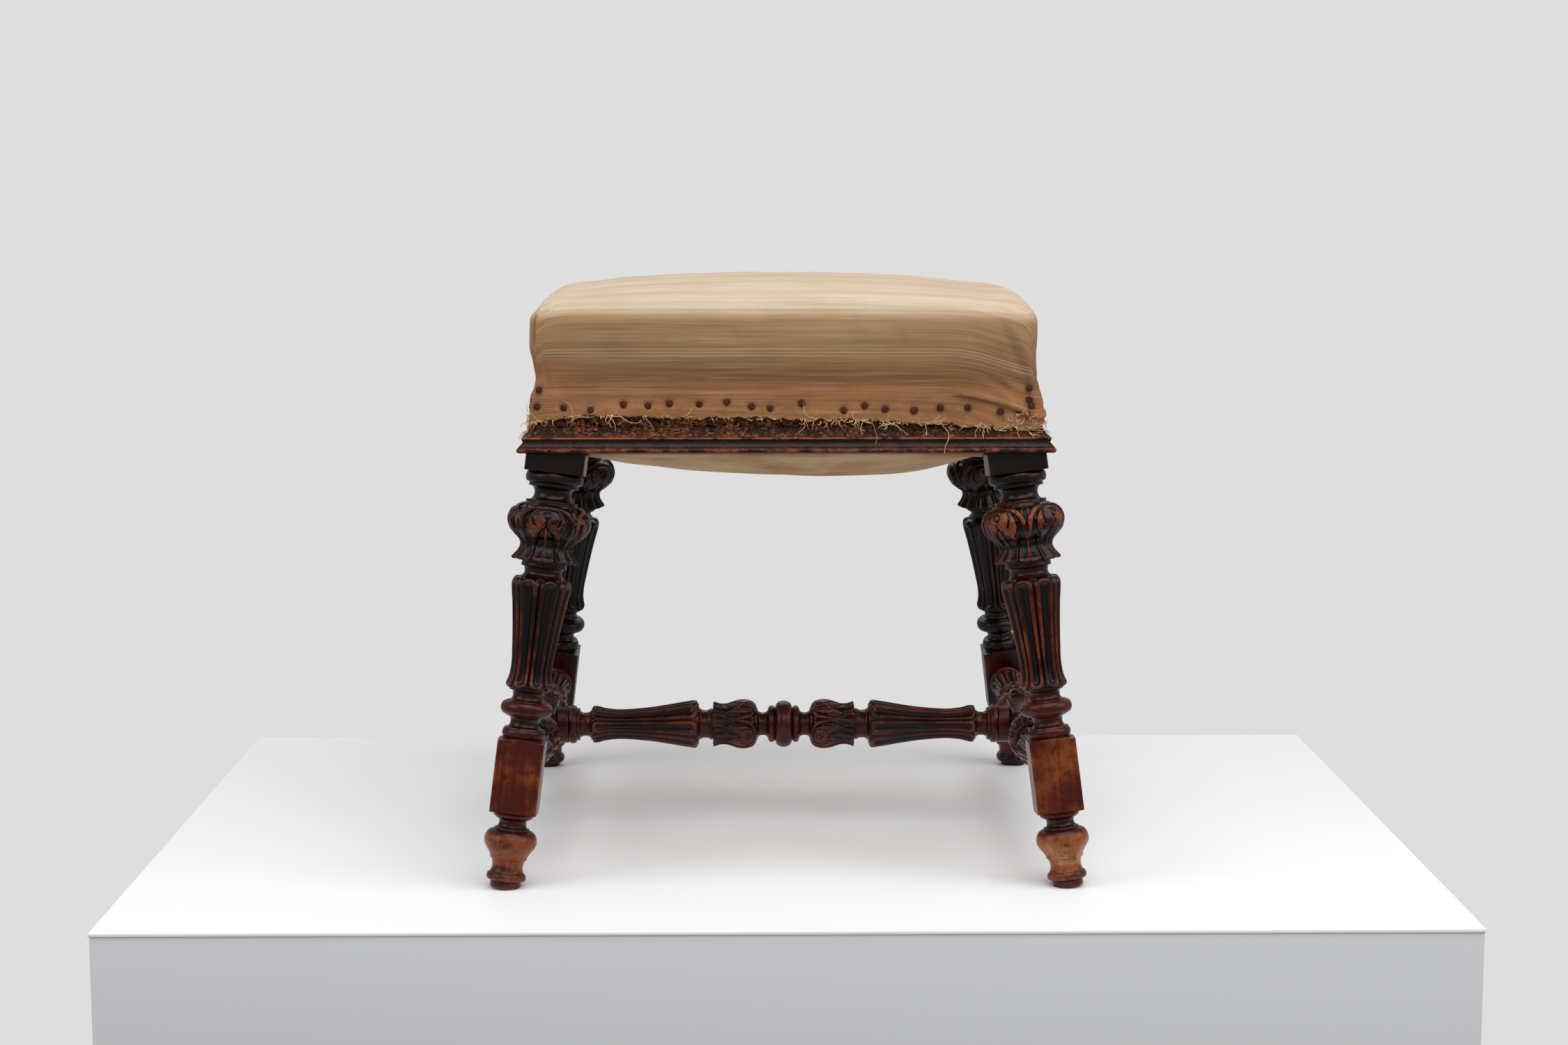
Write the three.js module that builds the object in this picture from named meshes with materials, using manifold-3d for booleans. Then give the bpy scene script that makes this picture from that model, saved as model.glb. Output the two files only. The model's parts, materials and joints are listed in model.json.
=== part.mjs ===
// A square walnut stool: four splayed legs, turned and carved, an H-shaped stretcher and a stuffed, sprung seat.
// Millimetres, +Z up. The origin is on the floor, midway between the four feet, and the front faces -Y.

import * as THREE from "three";
import { mergeVertices } from "three/addons/utils/BufferGeometryUtils.js";
import Module from "manifold-3d";

const wasm = await Module();
wasm.setup();

// Clearance between two pieces that touch, and how far cutters and buried ends run past a face
const GAP = 0.3;
const OVERRUN = 6;

// Seat frame: rails between the square tops of the legs, with a moulding planted round the foot of both
const FRAME_HALF = 200;
const POST_WIDTH = 42;
const RAIL = { height: 49, thickness: 26 };
const RAIL_TENON = { length: 14, height: 34, thickness: 10 };
const MOULDING = { height: 12.5, projection: 10.6, ramp: 7, bead: 2.8, hollow: 2, fillet: 2, setback: 1.8 };

// Stance: how far the leg's axis lies inside the frame's face, and how far out the foot stands from there
const LEG_INSET = 19.75;
const SPLAY = 42.75;

// Faces round a plain turning, and round the carved stretches of a leg and of a stretcher
const ROUND_SIDES = 12;
const LEG_CARVED_SIDES = 24;
const STRETCHER_CARVED_SIDES = 16;

// Blocks and turned elements of the leg, each height along the leg's own axis
const LOWER_BLOCK = { height: 57.3, width: 37 };
const UPPER_BLOCK = { height: 18.5, width: 46.5 };
const FOOT_DISC = { height: 4.2, radius: 11.8 };
const FOOT_RING = { height: 9, radius: 15.5 };
const ANKLE = { height: 7, radius: 12.5 };
const FOOT_VASE = { height: 25.8, radius: 21, neck: 13.5 };
const VASE_COLLAR = { height: 2.6, radius: 13.9 };
const BLOCK_NECK = { height: 7, radius: 10.8 };
const BLOCK_CUP = { height: 4.4, radius: 15.8 };
const BLOCK_RING = { height: 9, radius: 17 };
const SHAFT_NECK = { height: 11, radius: 11.5 };
const SHAFT_RING = { height: 10, radius: 20.4 };
const FLUTE_NECK = { height: 10.2, radius: 12 };
const LEG_FLUTES = { height: 88, small: 18.2, waist: 15.7, large: 23.2, depth: 2 };
const LEAF_NECK = { height: 9.5, radius: 14.8 };
const LEAF_COLLAR = { height: 2.5, radius: 18 };
const LEG_LEAVES = { height: 47.5, tips: 25.5, waist: 20.6, belly: 33, crown: 22, depth: 3 };
const CROWN_COLLAR = { height: 3, radius: 20.4 };
const TOP_NECK = { height: 10.3, radius: 14.5 };
const TOP_COLLAR = { height: 3, radius: 19.5 };
const TOP_RING = { height: 8.5, radius: 22.8 };

// Turned elements of the cross stretcher; its flutes take up what length is left
const MIDDLE_BALL = { height: 8, radius: 19.7 };
const MIDDLE_RING = { height: 5.5, radius: 16 };
const MIDDLE_NECK = { height: 9.5, radius: 9.9 };
const CROSS_LEAVES = { height: 39.5, tips: 19.8, waist: 16.5, belly: 21.5, crown: 14, depth: 2.2 };
const CROSS_LEAF_NECK = { height: 11, radius: 12 };
const CROSS_FLUTES = { small: 15.7, waist: 12.4, large: 20.3, depth: 1.8 };
const CROSS_NECK = { height: 11.7, radius: 10.1 };
const CROSS_RING = { height: 6, radius: 16.6 };
const CROSS_COLLAR = { height: 12, radius: 16 };
const CROSS_TENON = { length: 14, radius: 7 };

// The block and the turned elements of a side stretcher, whose flutes also take up what length is left
const JOINT_BLOCK = { length: 64, width: 32 };
const JOINT_NECK = { height: 8, radius: 12 };
const SIDE_LEAVES = { height: 42, tips: 20, waist: 16.5, belly: 22, crown: 14.5, depth: 2.2 };
const SIDE_LEAF_NECK = { height: 9, radius: 11.5 };
const SIDE_FLUTES = { small: 14.5, waist: 11.5, large: 18.4, depth: 1.6 };
const SIDE_NECK = { height: 7, radius: 10 };
const SIDE_RING = { height: 6, radius: 15.8 };
const SIDE_COLLAR = { height: 6, radius: 14.6 };
const SIDE_TENON = { length: 13, radius: 7 };
const STRETCHER_DROP = 2.3;

// The order of the turned elements: up the leg, and outwards from the middle of each stretcher
const FOOT_TURNING = [
  [fillet, FOOT_DISC],
  [bead, FOOT_RING],
  [cove, ANKLE],
  [vase, FOOT_VASE],
  [fillet, VASE_COLLAR],
  [cove, BLOCK_NECK],
  [bead, BLOCK_CUP],
];
const SHAFT_TURNING = [
  [bead, BLOCK_RING],
  [cove, SHAFT_NECK],
  [bead, SHAFT_RING],
  [cove, FLUTE_NECK],
  [flutes, LEG_FLUTES],
  [cove, LEAF_NECK],
  [fillet, LEAF_COLLAR],
  [acanthus, LEG_LEAVES],
  [fillet, CROWN_COLLAR],
  [cove, TOP_NECK],
  [fillet, TOP_COLLAR],
  [bead, TOP_RING],
];
const CROSS_TURNING = [
  [dome, MIDDLE_BALL],
  [bead, MIDDLE_RING],
  [cove, MIDDLE_NECK],
  [acanthusOut, CROSS_LEAVES],
  [cove, CROSS_LEAF_NECK],
  [flutesOut, CROSS_FLUTES],
  [cove, CROSS_NECK],
  [bead, CROSS_RING],
  [fillet, CROSS_COLLAR],
];
const SIDE_TURNING = [
  [cove, JOINT_NECK],
  [acanthusOut, SIDE_LEAVES],
  [cove, SIDE_LEAF_NECK],
  [flutesOut, SIDE_FLUTES],
  [cove, SIDE_NECK],
  [bead, SIDE_RING],
  [fillet, SIDE_COLLAR],
];

// Where the curves of a turning change, as shares of the element's height or radius
const BEAD_RIM_SHARE = 0.82;
const VASE_BELLY_SHARE = 0.6;
const FLUTE_SMALL_SHARE = 0.035;
const FLUTE_WAIST_SHARE = 0.22;
const FLUTE_LARGE_SHARE = 0.965;
const ACANTHUS_TIP_SHARE = 0.09;
const ACANTHUS_WAIST_SHARE = 0.28;
const ACANTHUS_RISE_SHARE = 0.46;
const ACANTHUS_BELLY_SHARE = 0.71;
const ACANTHUS_SHOULDER_SHARE = 0.9;
const RISE_SWELL_SHARE = 0.58;
const SHOULDER_SWELL_SHARE = 0.74;

// Carving: how many flutes and leaves go round, and where their rings lie
const FLUTE_COUNT = 8;
const LEAF_COUNT = 4;
const FLUTE_STATION_SHARES = [0, 0.035, 0.12, 0.3, 0.65, 0.965, 1];
const LEAF_STATION_SHARES = [0, 0.09, 0.28, 0.46, 0.6, 0.75, 0.9, 1];
const LEAF_FADE_SHARE = 0.635;

// Springing: webbing under the rails, coil springs on it and hessian over them
const WEBBING = { width: 50, thickness: 1.4, pitch: 95, sag: 24, landing: 16, margin: 7 };
const SPRING = { radius: 30, waist: 21, wire: 1.8, turns: 4 };
const SPRING_END_TURN_SHARE = 0.12;
const SPRING_STEPS = 8;
const WIRE_SIDES = 5;
const HESSIAN = { thickness: 1.2, rise: 40, margin: 11 };

// Seat: the cover's lower edge, its drawn-in sides and the crown
const COVER = { thickness: 1.2, lap: 23, corner: 13, hemCorner: 2 };
const CUSHION = { edge: 65, draw: 4.5, shoulder: 3.5, roll: 6, crown: 19 };
const CUSHION_WAIST_SHARE = 0.35;
const BOTTOM_CLOTH = { thickness: 1, sag: 33, margin: 6, notch: 3 };
const CROWN_POWER = 2.4;
const SAG_POWER = 2;

// How far out the feet stand, and the height that the leg's turning then gives the frame
const FOOT_REACH = FRAME_HALF - LEG_INSET + SPLAY;
const FOOT_LENGTH = total(FOOT_TURNING);
const SHAFT_START = FOOT_LENGTH + LOWER_BLOCK.height;
const UPPER_START = SHAFT_START + total(SHAFT_TURNING);
const LEG_LENGTH = UPPER_START + UPPER_BLOCK.height;
const FRAME_BOTTOM = Math.sqrt(LEG_LENGTH ** 2 - 2 * SPLAY ** 2);
const RAIL_TOP = FRAME_BOTTOM + RAIL.height;
const POST_INNER = FRAME_HALF - POST_WIDTH;
const RAIL_INNER = FRAME_HALF - RAIL.thickness;
const BLOCK_SHARE = (FOOT_LENGTH + LOWER_BLOCK.height / 2) / LEG_LENGTH;
const STRETCHER_Z = FRAME_BOTTOM * BLOCK_SHARE - STRETCHER_DROP;
const STRETCHER_X = FOOT_REACH - SPLAY * (STRETCHER_Z / FRAME_BOTTOM);

const walnut = new THREE.MeshStandardMaterial({ color: 0x3b1f12, roughness: 0.42, metalness: 0 });
const wornWalnut = new THREE.MeshStandardMaterial({ color: 0x4a2815, roughness: 0.5, metalness: 0 });
const rawWood = new THREE.MeshStandardMaterial({ color: 0x4b2c1a, roughness: 0.8, metalness: 0 });
const ticking = new THREE.MeshStandardMaterial({ color: 0xc2a377, roughness: 0.95, metalness: 0 });
const calico = new THREE.MeshStandardMaterial({ color: 0xcdb893, roughness: 0.95, metalness: 0 });
const jute = new THREE.MeshStandardMaterial({ color: 0x9a7b4f, roughness: 1, metalness: 0 });
const horsehair = new THREE.MeshStandardMaterial({ color: 0x4d3a2a, roughness: 1, metalness: 0 });
const springSteel = new THREE.MeshStandardMaterial({ color: 0x6d6a66, roughness: 0.45, metalness: 1 });

function total(elements) {
  return elements.reduce((sum, [, sizes]) => sum + (sizes.height ?? 0), 0);
}

// Turned elements: each gives its stations, at shares of its height, with a radius and perhaps carving

function fillet({ radius }) {
  return [
    { at: 0, radius },
    { at: 1, radius },
  ];
}

function bead({ radius }) {
  const rim = radius * BEAD_RIM_SHARE;
  return [0, 1, 2, 3].map((step) => {
    const angle = (Math.PI * step) / 3;
    const swell = Math.min(1, Math.sin(angle) / Math.sin(Math.PI / 3));
    return { at: (1 - Math.cos(angle)) / 2, radius: rim + (radius - rim) * swell };
  });
}

function dome({ radius }) {
  return [0, 0.4, 0.8, 1].map((at) => ({ at, radius: radius * Math.cos((Math.PI * at) / 3) ** 0.5 }));
}

function cove({ radius }) {
  return [
    { at: 0.3, radius },
    { at: 0.7, radius },
  ];
}

function vase({ radius, neck }) {
  return [0, 0.25, 0.45, 0.65, 0.88, 1].map((at) => {
    const below = at < VASE_BELLY_SHARE;
    const way = below ? 1 - at / VASE_BELLY_SHARE : (at - VASE_BELLY_SHARE) / (1 - VASE_BELLY_SHARE);
    const swell = below ? (1 + Math.cos(Math.PI * way)) / 2 : Math.sqrt(1 - way ** 2);
    return { at, radius: neck + (radius - neck) * swell };
  });
}

// A smooth radius through a few [share, radius] points
function smoothRadius(points, at) {
  const curve = new THREE.SplineCurve(points.map(([share, radius]) => new THREE.Vector2(share, radius)));
  const spans = points.length - 1;
  const span = Math.max(0, points.findIndex(([share]) => share >= at) - 1);
  const way = (at - points[span][0]) / (points[span + 1][0] - points[span][0]);
  return curve.getPoint((span + way) / spans).y;
}

// How deep the carving is across one motif, from its edge at 0 to its other edge at 1

function channel(across) {
  return Math.min(1, 2 * Math.sin(Math.PI * across));
}

function petal(across) {
  return 1 - channel(across);
}

function leafBody(across) {
  const lobes = (1 + Math.cos(6 * Math.PI * across)) / 2;
  return lobes * (1 - LEAF_FADE_SHARE * Math.sin(Math.PI * across));
}

function leafTip(across) {
  return (1 + Math.cos(4 * Math.PI * across)) / 2;
}

// A tapering shaft of flutes, each with a sunken channel and a petal-shaped end
function flutes({ small, waist, large, depth }) {
  const end = (radius) => radius - depth;
  const outline = [
    [0, end(small)],
    [FLUTE_SMALL_SHARE, small],
    [FLUTE_WAIST_SHARE, waist],
    [FLUTE_LARGE_SHARE, large],
    [1, end(large)],
  ];
  return FLUTE_STATION_SHARES.map((at) => {
    const open = at > FLUTE_SMALL_SHARE && at < FLUTE_LARGE_SHARE;
    const motif = open ? channel : petal;
    const cut = open ? depth : depth / 2;
    return { at, radius: smoothRadius(outline, at), carving: { motif, cut, count: FLUTE_COUNT } };
  });
}

// A bulb wrapped in leaves, whose tips curl out at the foot
function acanthus({ tips, waist, belly, crown, depth }) {
  const outline = [
    [0, tips - depth],
    [ACANTHUS_TIP_SHARE, tips],
    [ACANTHUS_WAIST_SHARE, waist],
    [ACANTHUS_RISE_SHARE, THREE.MathUtils.lerp(waist, belly, RISE_SWELL_SHARE)],
    [ACANTHUS_BELLY_SHARE, belly],
    [ACANTHUS_SHOULDER_SHARE, THREE.MathUtils.lerp(crown, belly, SHOULDER_SWELL_SHARE)],
    [1, crown],
  ];
  return LEAF_STATION_SHARES.map((at) => {
    const curled = at <= ACANTHUS_TIP_SHARE;
    const motif = curled ? leafTip : leafBody;
    const cut = curled ? depth : depth * (1 - at ** 4);
    return { at, radius: smoothRadius(outline, at), carving: { motif, cut, count: LEAF_COUNT } };
  });
}

// The same two forms laid the other way round, for a turning that runs outwards
function turnedRound(stations) {
  return stations.map((station) => ({ ...station, at: 1 - station.at })).reverse();
}

function flutesOut(sizes) {
  return turnedRound(flutes(sizes));
}

function acanthusOut(sizes) {
  return turnedRound(acanthus(sizes));
}

// The stations of a whole turning, as distances along it from start
function stationsOf(elements, start, length) {
  const spare = length - total(elements);
  let place = start;
  return elements.flatMap(([form, sizes]) => {
    const height = sizes.height ?? spare;
    const from = place;
    place += height;
    return form(sizes).map((station) => ({ ...station, place: from + station.at * height }));
  });
}

// One ring of a turning, round +Z, with the carving cut into it
function ringOf({ place, radius, carving }, carvedSides, turn) {
  const sides = carving ? carvedSides : ROUND_SIDES;
  const points = [];
  for (let side = 0; side < sides; side++) {
    const angle = (2 * Math.PI * side) / sides + turn;
    let reach = radius;
    if (carving) {
      const across = (side * carving.count) / sides;
      reach -= carving.cut * carving.motif(across % 1);
    }
    points.push(new THREE.Vector3(Math.cos(angle) * reach, Math.sin(angle) * reach, place));
  }
  return points;
}

// A closed surface through rings that run anticlockwise, seen from the end that they climb to
function skin(rings) {
  const points = rings.flat();
  const index = [];
  let start = 0;
  const placed = rings.map((ring) => {
    const first = start;
    start += ring.length;
    return { first, count: ring.length, steps: ring.length > 1 ? ring.length : 0 };
  });
  for (let r = 1; r < placed.length; r++) zip(placed[r - 1], placed[r], index);
  cap(placed[0], index, true);
  cap(placed[placed.length - 1], index, false);
  const geometry = new THREE.BufferGeometry().setFromPoints(points);
  geometry.setIndex(index);
  return geometry;
}

// Triangles between two neighbouring rings, which may have different numbers of points
function zip(low, high, index) {
  const at = (ring, step) => ring.first + (step % ring.count);
  let i = 0;
  let j = 0;
  while (i < low.steps || j < high.steps) {
    const lowFirst = (i + 1) / low.steps <= (j + 1) / high.steps + Number.EPSILON;
    if (j === high.steps || (i < low.steps && lowFirst)) {
      index.push(at(low, i), at(low, i + 1), at(high, j));
      i++;
    } else {
      index.push(at(low, i), at(high, j + 1), at(high, j));
      j++;
    }
  }
}

function cap({ first, count }, index, facingDown) {
  for (let k = 1; k < count - 1; k++) {
    if (facingDown) index.push(first, first + k + 1, first + k);
    else index.push(first, first + k, first + k + 1);
  }
}

function solidOf(geometry, matrix = new THREE.Matrix4()) {
  const bare = geometry.clone().applyMatrix4(matrix);
  bare.deleteAttribute("normal");
  bare.deleteAttribute("uv");
  const merged = mergeVertices(bare);
  const vertProperties = merged.attributes.position.array;
  const triVerts = new Uint32Array(merged.index.array);
  return new wasm.Manifold(new wasm.Mesh({ numProp: 3, vertProperties, triVerts }));
}

function geometryOf(solid) {
  const { vertProperties, triVerts } = solid.getMesh();
  const geometry = new THREE.BufferGeometry();
  geometry.setAttribute("position", new THREE.BufferAttribute(new Float32Array(vertProperties), 3));
  geometry.setIndex(new THREE.BufferAttribute(new Uint32Array(triVerts), 1));
  geometry.computeVertexNormals();
  return geometry;
}

// A box between two corners, as a solid, placed by a matrix
function block(low, high, matrix) {
  const size = new THREE.Vector3().subVectors(high, low);
  const middle = new THREE.Vector3().addVectors(low, high).multiplyScalar(0.5);
  const box = new THREE.BoxGeometry(size.x, size.y, size.z).translate(middle.x, middle.y, middle.z);
  return solidOf(box, matrix);
}

function named(name, geometry, material) {
  const mesh = new THREE.Mesh(geometry, material.clone());
  mesh.name = name;
  return mesh;
}

// Where a leg stands: from its own frame, with its axis on +Z, to the stool's
function legMatrix(cornerX, cornerY) {
  const foot = new THREE.Vector3(cornerX, cornerY, 0).multiplyScalar(FOOT_REACH);
  const axis = new THREE.Vector3(-cornerX * SPLAY, -cornerY * SPLAY, FRAME_BOTTOM).normalize();
  const lean = new THREE.Quaternion().setFromUnitVectors(new THREE.Vector3(0, 0, 1), axis);
  return new THREE.Matrix4().compose(foot, lean, new THREE.Vector3(1, 1, 1));
}

// The lower block of a leg in the leg's own frame, grown on every side by a clearance
function lowerBlock(clearance, matrix) {
  const half = LOWER_BLOCK.width / 2 + clearance;
  const low = new THREE.Vector3(-half, -half, FOOT_LENGTH - clearance);
  const high = new THREE.Vector3(half, half, SHAFT_START + clearance);
  return block(low, high, matrix);
}

// The tenons at the ends of a rail that runs along X at the front, grown by a clearance
function railTenon(end, clearance) {
  const thin = RAIL_TENON.thickness / 2 + clearance;
  const tall = RAIL_TENON.height / 2 + clearance;
  const middleY = POST_WIDTH / 2 - FRAME_HALF;
  const middleZ = FRAME_BOTTOM + RAIL.height / 2;
  const inside = POST_INNER - OVERRUN;
  const tip = POST_INNER + RAIL_TENON.length + clearance;
  const low = new THREE.Vector3(end > 0 ? inside : -tip, middleY - thin, middleZ - tall);
  const high = new THREE.Vector3(end > 0 ? tip : -inside, middleY + thin, middleZ + tall);
  return block(low, high, new THREE.Matrix4());
}

// A round tenon along +Z, grown by a clearance, that starts a little inside its own piece
function roundTenon({ length, radius }, clearance) {
  const height = length + clearance + OVERRUN;
  const grown = radius + clearance;
  return new THREE.CylinderGeometry(grown, grown, height, ROUND_SIDES)
    .rotateX(Math.PI / 2)
    .translate(0, 0, height / 2 - OVERRUN);
}

// Where the side stretcher on one side stands: its length on +Z of its own frame, then along Y
function sideMatrix(side, end) {
  const turn = new THREE.Quaternion().setFromUnitVectors(new THREE.Vector3(0, 0, 1), new THREE.Vector3(0, end, 0));
  const place = new THREE.Vector3(side * STRETCHER_X, 0, STRETCHER_Z);
  return new THREE.Matrix4().compose(place, turn, new THREE.Vector3(1, 1, 1));
}

// Distance along Y from the middle of the stool to the inner face of a leg's lower block
function legFace() {
  return STRETCHER_X - LOWER_BLOCK.width / 2;
}

function sideTenon(side, end, clearance) {
  const tenon = roundTenon(SIDE_TENON, clearance).translate(0, 0, legFace());
  return solidOf(tenon, sideMatrix(side, end));
}

function leg(name, cornerX, cornerY, leafTurn) {
  const toStool = legMatrix(cornerX, cornerY);
  const toLeg = toStool.clone().invert();
  const inLeg = (solid) => solid.transform(toLeg.elements);

  const foot = stationsOf(FOOT_TURNING, 0, FOOT_LENGTH);
  const shaft = stationsOf(SHAFT_TURNING, SHAFT_START, total(SHAFT_TURNING));
  const underFloor = { ...foot[0], place: -OVERRUN };
  const intoBlock = { ...shaft[shaft.length - 1], place: UPPER_START + OVERRUN };
  const stations = [underFloor, ...foot, ...shaft, intoBlock];
  const turning = solidOf(skin(stations.map((station) => ringOf(station, LEG_CARVED_SIDES, leafTurn))));

  const half = UPPER_BLOCK.width / 2;
  const upperLow = new THREE.Vector3(-half, -half, UPPER_START);
  const upperHigh = new THREE.Vector3(half, half, LEG_LENGTH + OVERRUN);
  const upper = block(upperLow, upperHigh, new THREE.Matrix4());
  const billet = turning.add(lowerBlock(0, new THREE.Matrix4())).add(upper);

  const reach = 2 * FOOT_REACH;
  const floorLow = new THREE.Vector3(-reach, -reach, -reach);
  const floor = block(floorLow, new THREE.Vector3(reach, reach, 0), toLeg);
  const shoulder = FRAME_BOTTOM - GAP;
  const above = block(new THREE.Vector3(-reach, -reach, shoulder), new THREE.Vector3(reach, reach, 2 * reach), toLeg);

  const sideX = [cornerX * POST_INNER, cornerX * FRAME_HALF].sort((a, b) => a - b);
  const sideY = [cornerY * POST_INNER, cornerY * FRAME_HALF].sort((a, b) => a - b);
  const postLow = new THREE.Vector3(sideX[0], sideY[0], shoulder - OVERRUN);
  const postHigh = new THREE.Vector3(sideX[1], sideY[1], RAIL_TOP);
  const post = block(postLow, postHigh, toLeg);

  const turns = [0, 1, 2, 3].map((quarter) => new THREE.Matrix4().makeRotationZ((quarter * Math.PI) / 2));
  let mortises = inLeg(sideTenon(cornerX, cornerY, GAP));
  for (const turn of turns) {
    for (const end of [-1, 1]) {
      const tenon = railTenon(end, GAP).transform(turn.elements);
      mortises = mortises.add(inLeg(tenon));
    }
  }
  const solid = billet.subtract(floor).subtract(above).add(post).subtract(mortises);
  const mesh = named(name, geometryOf(solid), walnut);
  mesh.applyMatrix4(toStool);
  return mesh;
}

// The side stretcher, its shoulders coped to the leaning blocks of the two legs
function sideStretcher(name, side) {
  const start = JOINT_BLOCK.length / 2;
  const face = legFace();
  const stations = stationsOf(SIDE_TURNING, start, face - start);
  const inner = { ...stations[0], place: 0 };
  const outer = { ...stations[stations.length - 1], place: face + OVERRUN };
  const half = solidOf(skin([inner, ...stations, outer].map((station) => ringOf(station, STRETCHER_CARVED_SIDES, 0))));
  const wide = JOINT_BLOCK.width / 2;
  const low = new THREE.Vector3(side * STRETCHER_X - wide, -start, STRETCHER_Z - wide);
  const high = new THREE.Vector3(side * STRETCHER_X + wide, start, STRETCHER_Z + wide);
  let solid = block(low, high, new THREE.Matrix4());
  for (const end of [-1, 1]) {
    const coped = half.transform(sideMatrix(side, end).elements).subtract(lowerBlock(GAP, legMatrix(side, end)));
    solid = solid.add(coped).add(sideTenon(side, end, 0));
  }
  solid = solid.subtract(crossTenon(side, GAP));
  const place = new THREE.Matrix4().makeTranslation(side * STRETCHER_X, 0, STRETCHER_Z);
  const mesh = named(name, geometryOf(solid.transform(place.clone().invert().elements)), walnut);
  mesh.applyMatrix4(place);
  return mesh;
}

function crossMatrix(side) {
  const turn = new THREE.Quaternion().setFromUnitVectors(new THREE.Vector3(0, 0, 1), new THREE.Vector3(side, 0, 0));
  return new THREE.Matrix4().compose(new THREE.Vector3(0, 0, STRETCHER_Z), turn, new THREE.Vector3(1, 1, 1));
}

function crossReach() {
  return STRETCHER_X - JOINT_BLOCK.width / 2;
}

function crossTenon(side, clearance) {
  const tenon = roundTenon(CROSS_TENON, clearance).translate(0, 0, crossReach());
  return solidOf(tenon, crossMatrix(side));
}

function crossStretcher(name) {
  const shoulder = crossReach() - GAP;
  const stations = stationsOf(CROSS_TURNING, 0, shoulder);
  const middle = { ...stations[0], place: -GAP };
  const half = solidOf(skin([middle, ...stations].map((station) => ringOf(station, STRETCHER_CARVED_SIDES, 0))));
  let solid = null;
  for (const side of [-1, 1]) {
    const arm = half.transform(crossMatrix(side).elements).add(crossTenon(side, 0));
    solid = solid ? solid.add(arm) : arm;
  }
  const place = new THREE.Matrix4().makeTranslation(0, 0, STRETCHER_Z);
  const mesh = named(name, geometryOf(solid.transform(place.clone().invert().elements)), walnut);
  mesh.applyMatrix4(place);
  return mesh;
}

// A front rail along X, with a tenon at each end
function railGeometry() {
  const reach = POST_INNER - GAP;
  const low = new THREE.Vector3(-reach, -FRAME_HALF, FRAME_BOTTOM);
  const high = new THREE.Vector3(reach, -RAIL_INNER, RAIL_TOP);
  const solid = block(low, high, new THREE.Matrix4()).add(railTenon(-1, 0)).add(railTenon(1, 0));
  return geometryOf(solid);
}

// The moulding's section: bead, hollow, fillet and a hollow ramp up to the rail, mitred at both ends
function mouldingGeometry() {
  const out = MOULDING.projection;
  const foot = FRAME_BOTTOM;
  const beadTop = foot + 2 * MOULDING.bead;
  const filletTop = foot + MOULDING.height;
  const filletBottom = filletTop - MOULDING.fillet;
  const filletOut = out - MOULDING.setback;
  const section = new THREE.Shape();
  section.moveTo(GAP, foot);
  section.lineTo(out - MOULDING.bead, foot);
  section.absarc(out - MOULDING.bead, foot + MOULDING.bead, MOULDING.bead, -Math.PI / 2, Math.PI / 2, false);
  section.quadraticCurveTo(filletOut - MOULDING.hollow, (beadTop + filletBottom) / 2, filletOut, filletBottom);
  section.lineTo(filletOut, filletTop);
  section.quadraticCurveTo(MOULDING.hollow, filletTop, GAP, filletTop + MOULDING.ramp);
  section.closePath();
  const geometry = new THREE.ExtrudeGeometry(section, { depth: 1, bevelEnabled: false, curveSegments: 4 });
  const position = geometry.getAttribute("position");
  for (let i = 0; i < position.count; i++) {
    const beyond = position.getX(i);
    const end = position.getZ(i) > 0 ? -1 : 1;
    const along = end * (FRAME_HALF + beyond - GAP / 2);
    position.setXYZ(i, along, -FRAME_HALF - beyond, position.getY(i));
  }
  return geometry;
}

// A thin sheet over a grid of plan coordinates, where keep says so, with its underside at height(x, y)
function sheet(xs, ys, thickness, height, keep = () => true) {
  const columns = xs.length;
  const layer = columns * ys.length;
  const points = [0, 1].flatMap((side) =>
    ys.flatMap((y) => xs.map((x) => new THREE.Vector3(x, y, height(x, y) + side * thickness))),
  );
  const kept = (i, j) =>
    i >= 0 && j >= 0 && i < columns - 1 && j < ys.length - 1 && keep((xs[i] + xs[i + 1]) / 2, (ys[j] + ys[j + 1]) / 2);
  const index = [];
  const wall = (a, b) => index.push(a, b, b + layer, a, b + layer, a + layer);
  for (let j = 0; j < ys.length - 1; j++) {
    for (let i = 0; i < columns - 1; i++) {
      if (!kept(i, j)) continue;
      const a = j * columns + i;
      const b = a + 1;
      const c = b + columns;
      const d = a + columns;
      index.push(a, d, c, a, c, b);
      index.push(a + layer, b + layer, c + layer, a + layer, c + layer, d + layer);
      if (!kept(i, j - 1)) wall(a, b);
      if (!kept(i + 1, j)) wall(b, c);
      if (!kept(i, j + 1)) wall(c, d);
      if (!kept(i - 1, j)) wall(d, a);
    }
  }
  const geometry = new THREE.BufferGeometry().setFromPoints(points);
  geometry.setIndex(index);
  return geometryOf(solidOf(geometry));
}

// How high the underside of a sheet is at any point between the lines of its grid
function betweenLines(lines, height) {
  const cell = (value) => {
    const after = lines.findIndex((line) => line > value);
    const low = after < 1 ? lines.length - 2 : after - 1;
    return { low: lines[low], high: lines[low + 1], way: (value - lines[low]) / (lines[low + 1] - lines[low]) };
  };
  return (x, y) => {
    const across = cell(x);
    const along = cell(y);
    const start = height(across.low, along.low);
    const end = height(across.high, along.high);
    const turn = across.way > along.way ? height(across.high, along.low) : height(across.low, along.high);
    const first = Math.max(across.way, along.way);
    const last = Math.min(across.way, along.way);
    return start + first * (turn - start) + last * (end - turn);
  };
}

// Evenly spaced values from low to high
function spread(low, high, count) {
  return Array.from({ length: count + 1 }, (_, k) => low + ((high - low) * k) / count);
}

// A pillow shape over the opening of the frame: 1 in the middle, 0 at the rails
function pillow(x, y, half, power) {
  const along = Math.max(0, 1 - Math.abs(x / half) ** power);
  const across = Math.max(0, 1 - Math.abs(y / half) ** power);
  return along * across;
}

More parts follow.
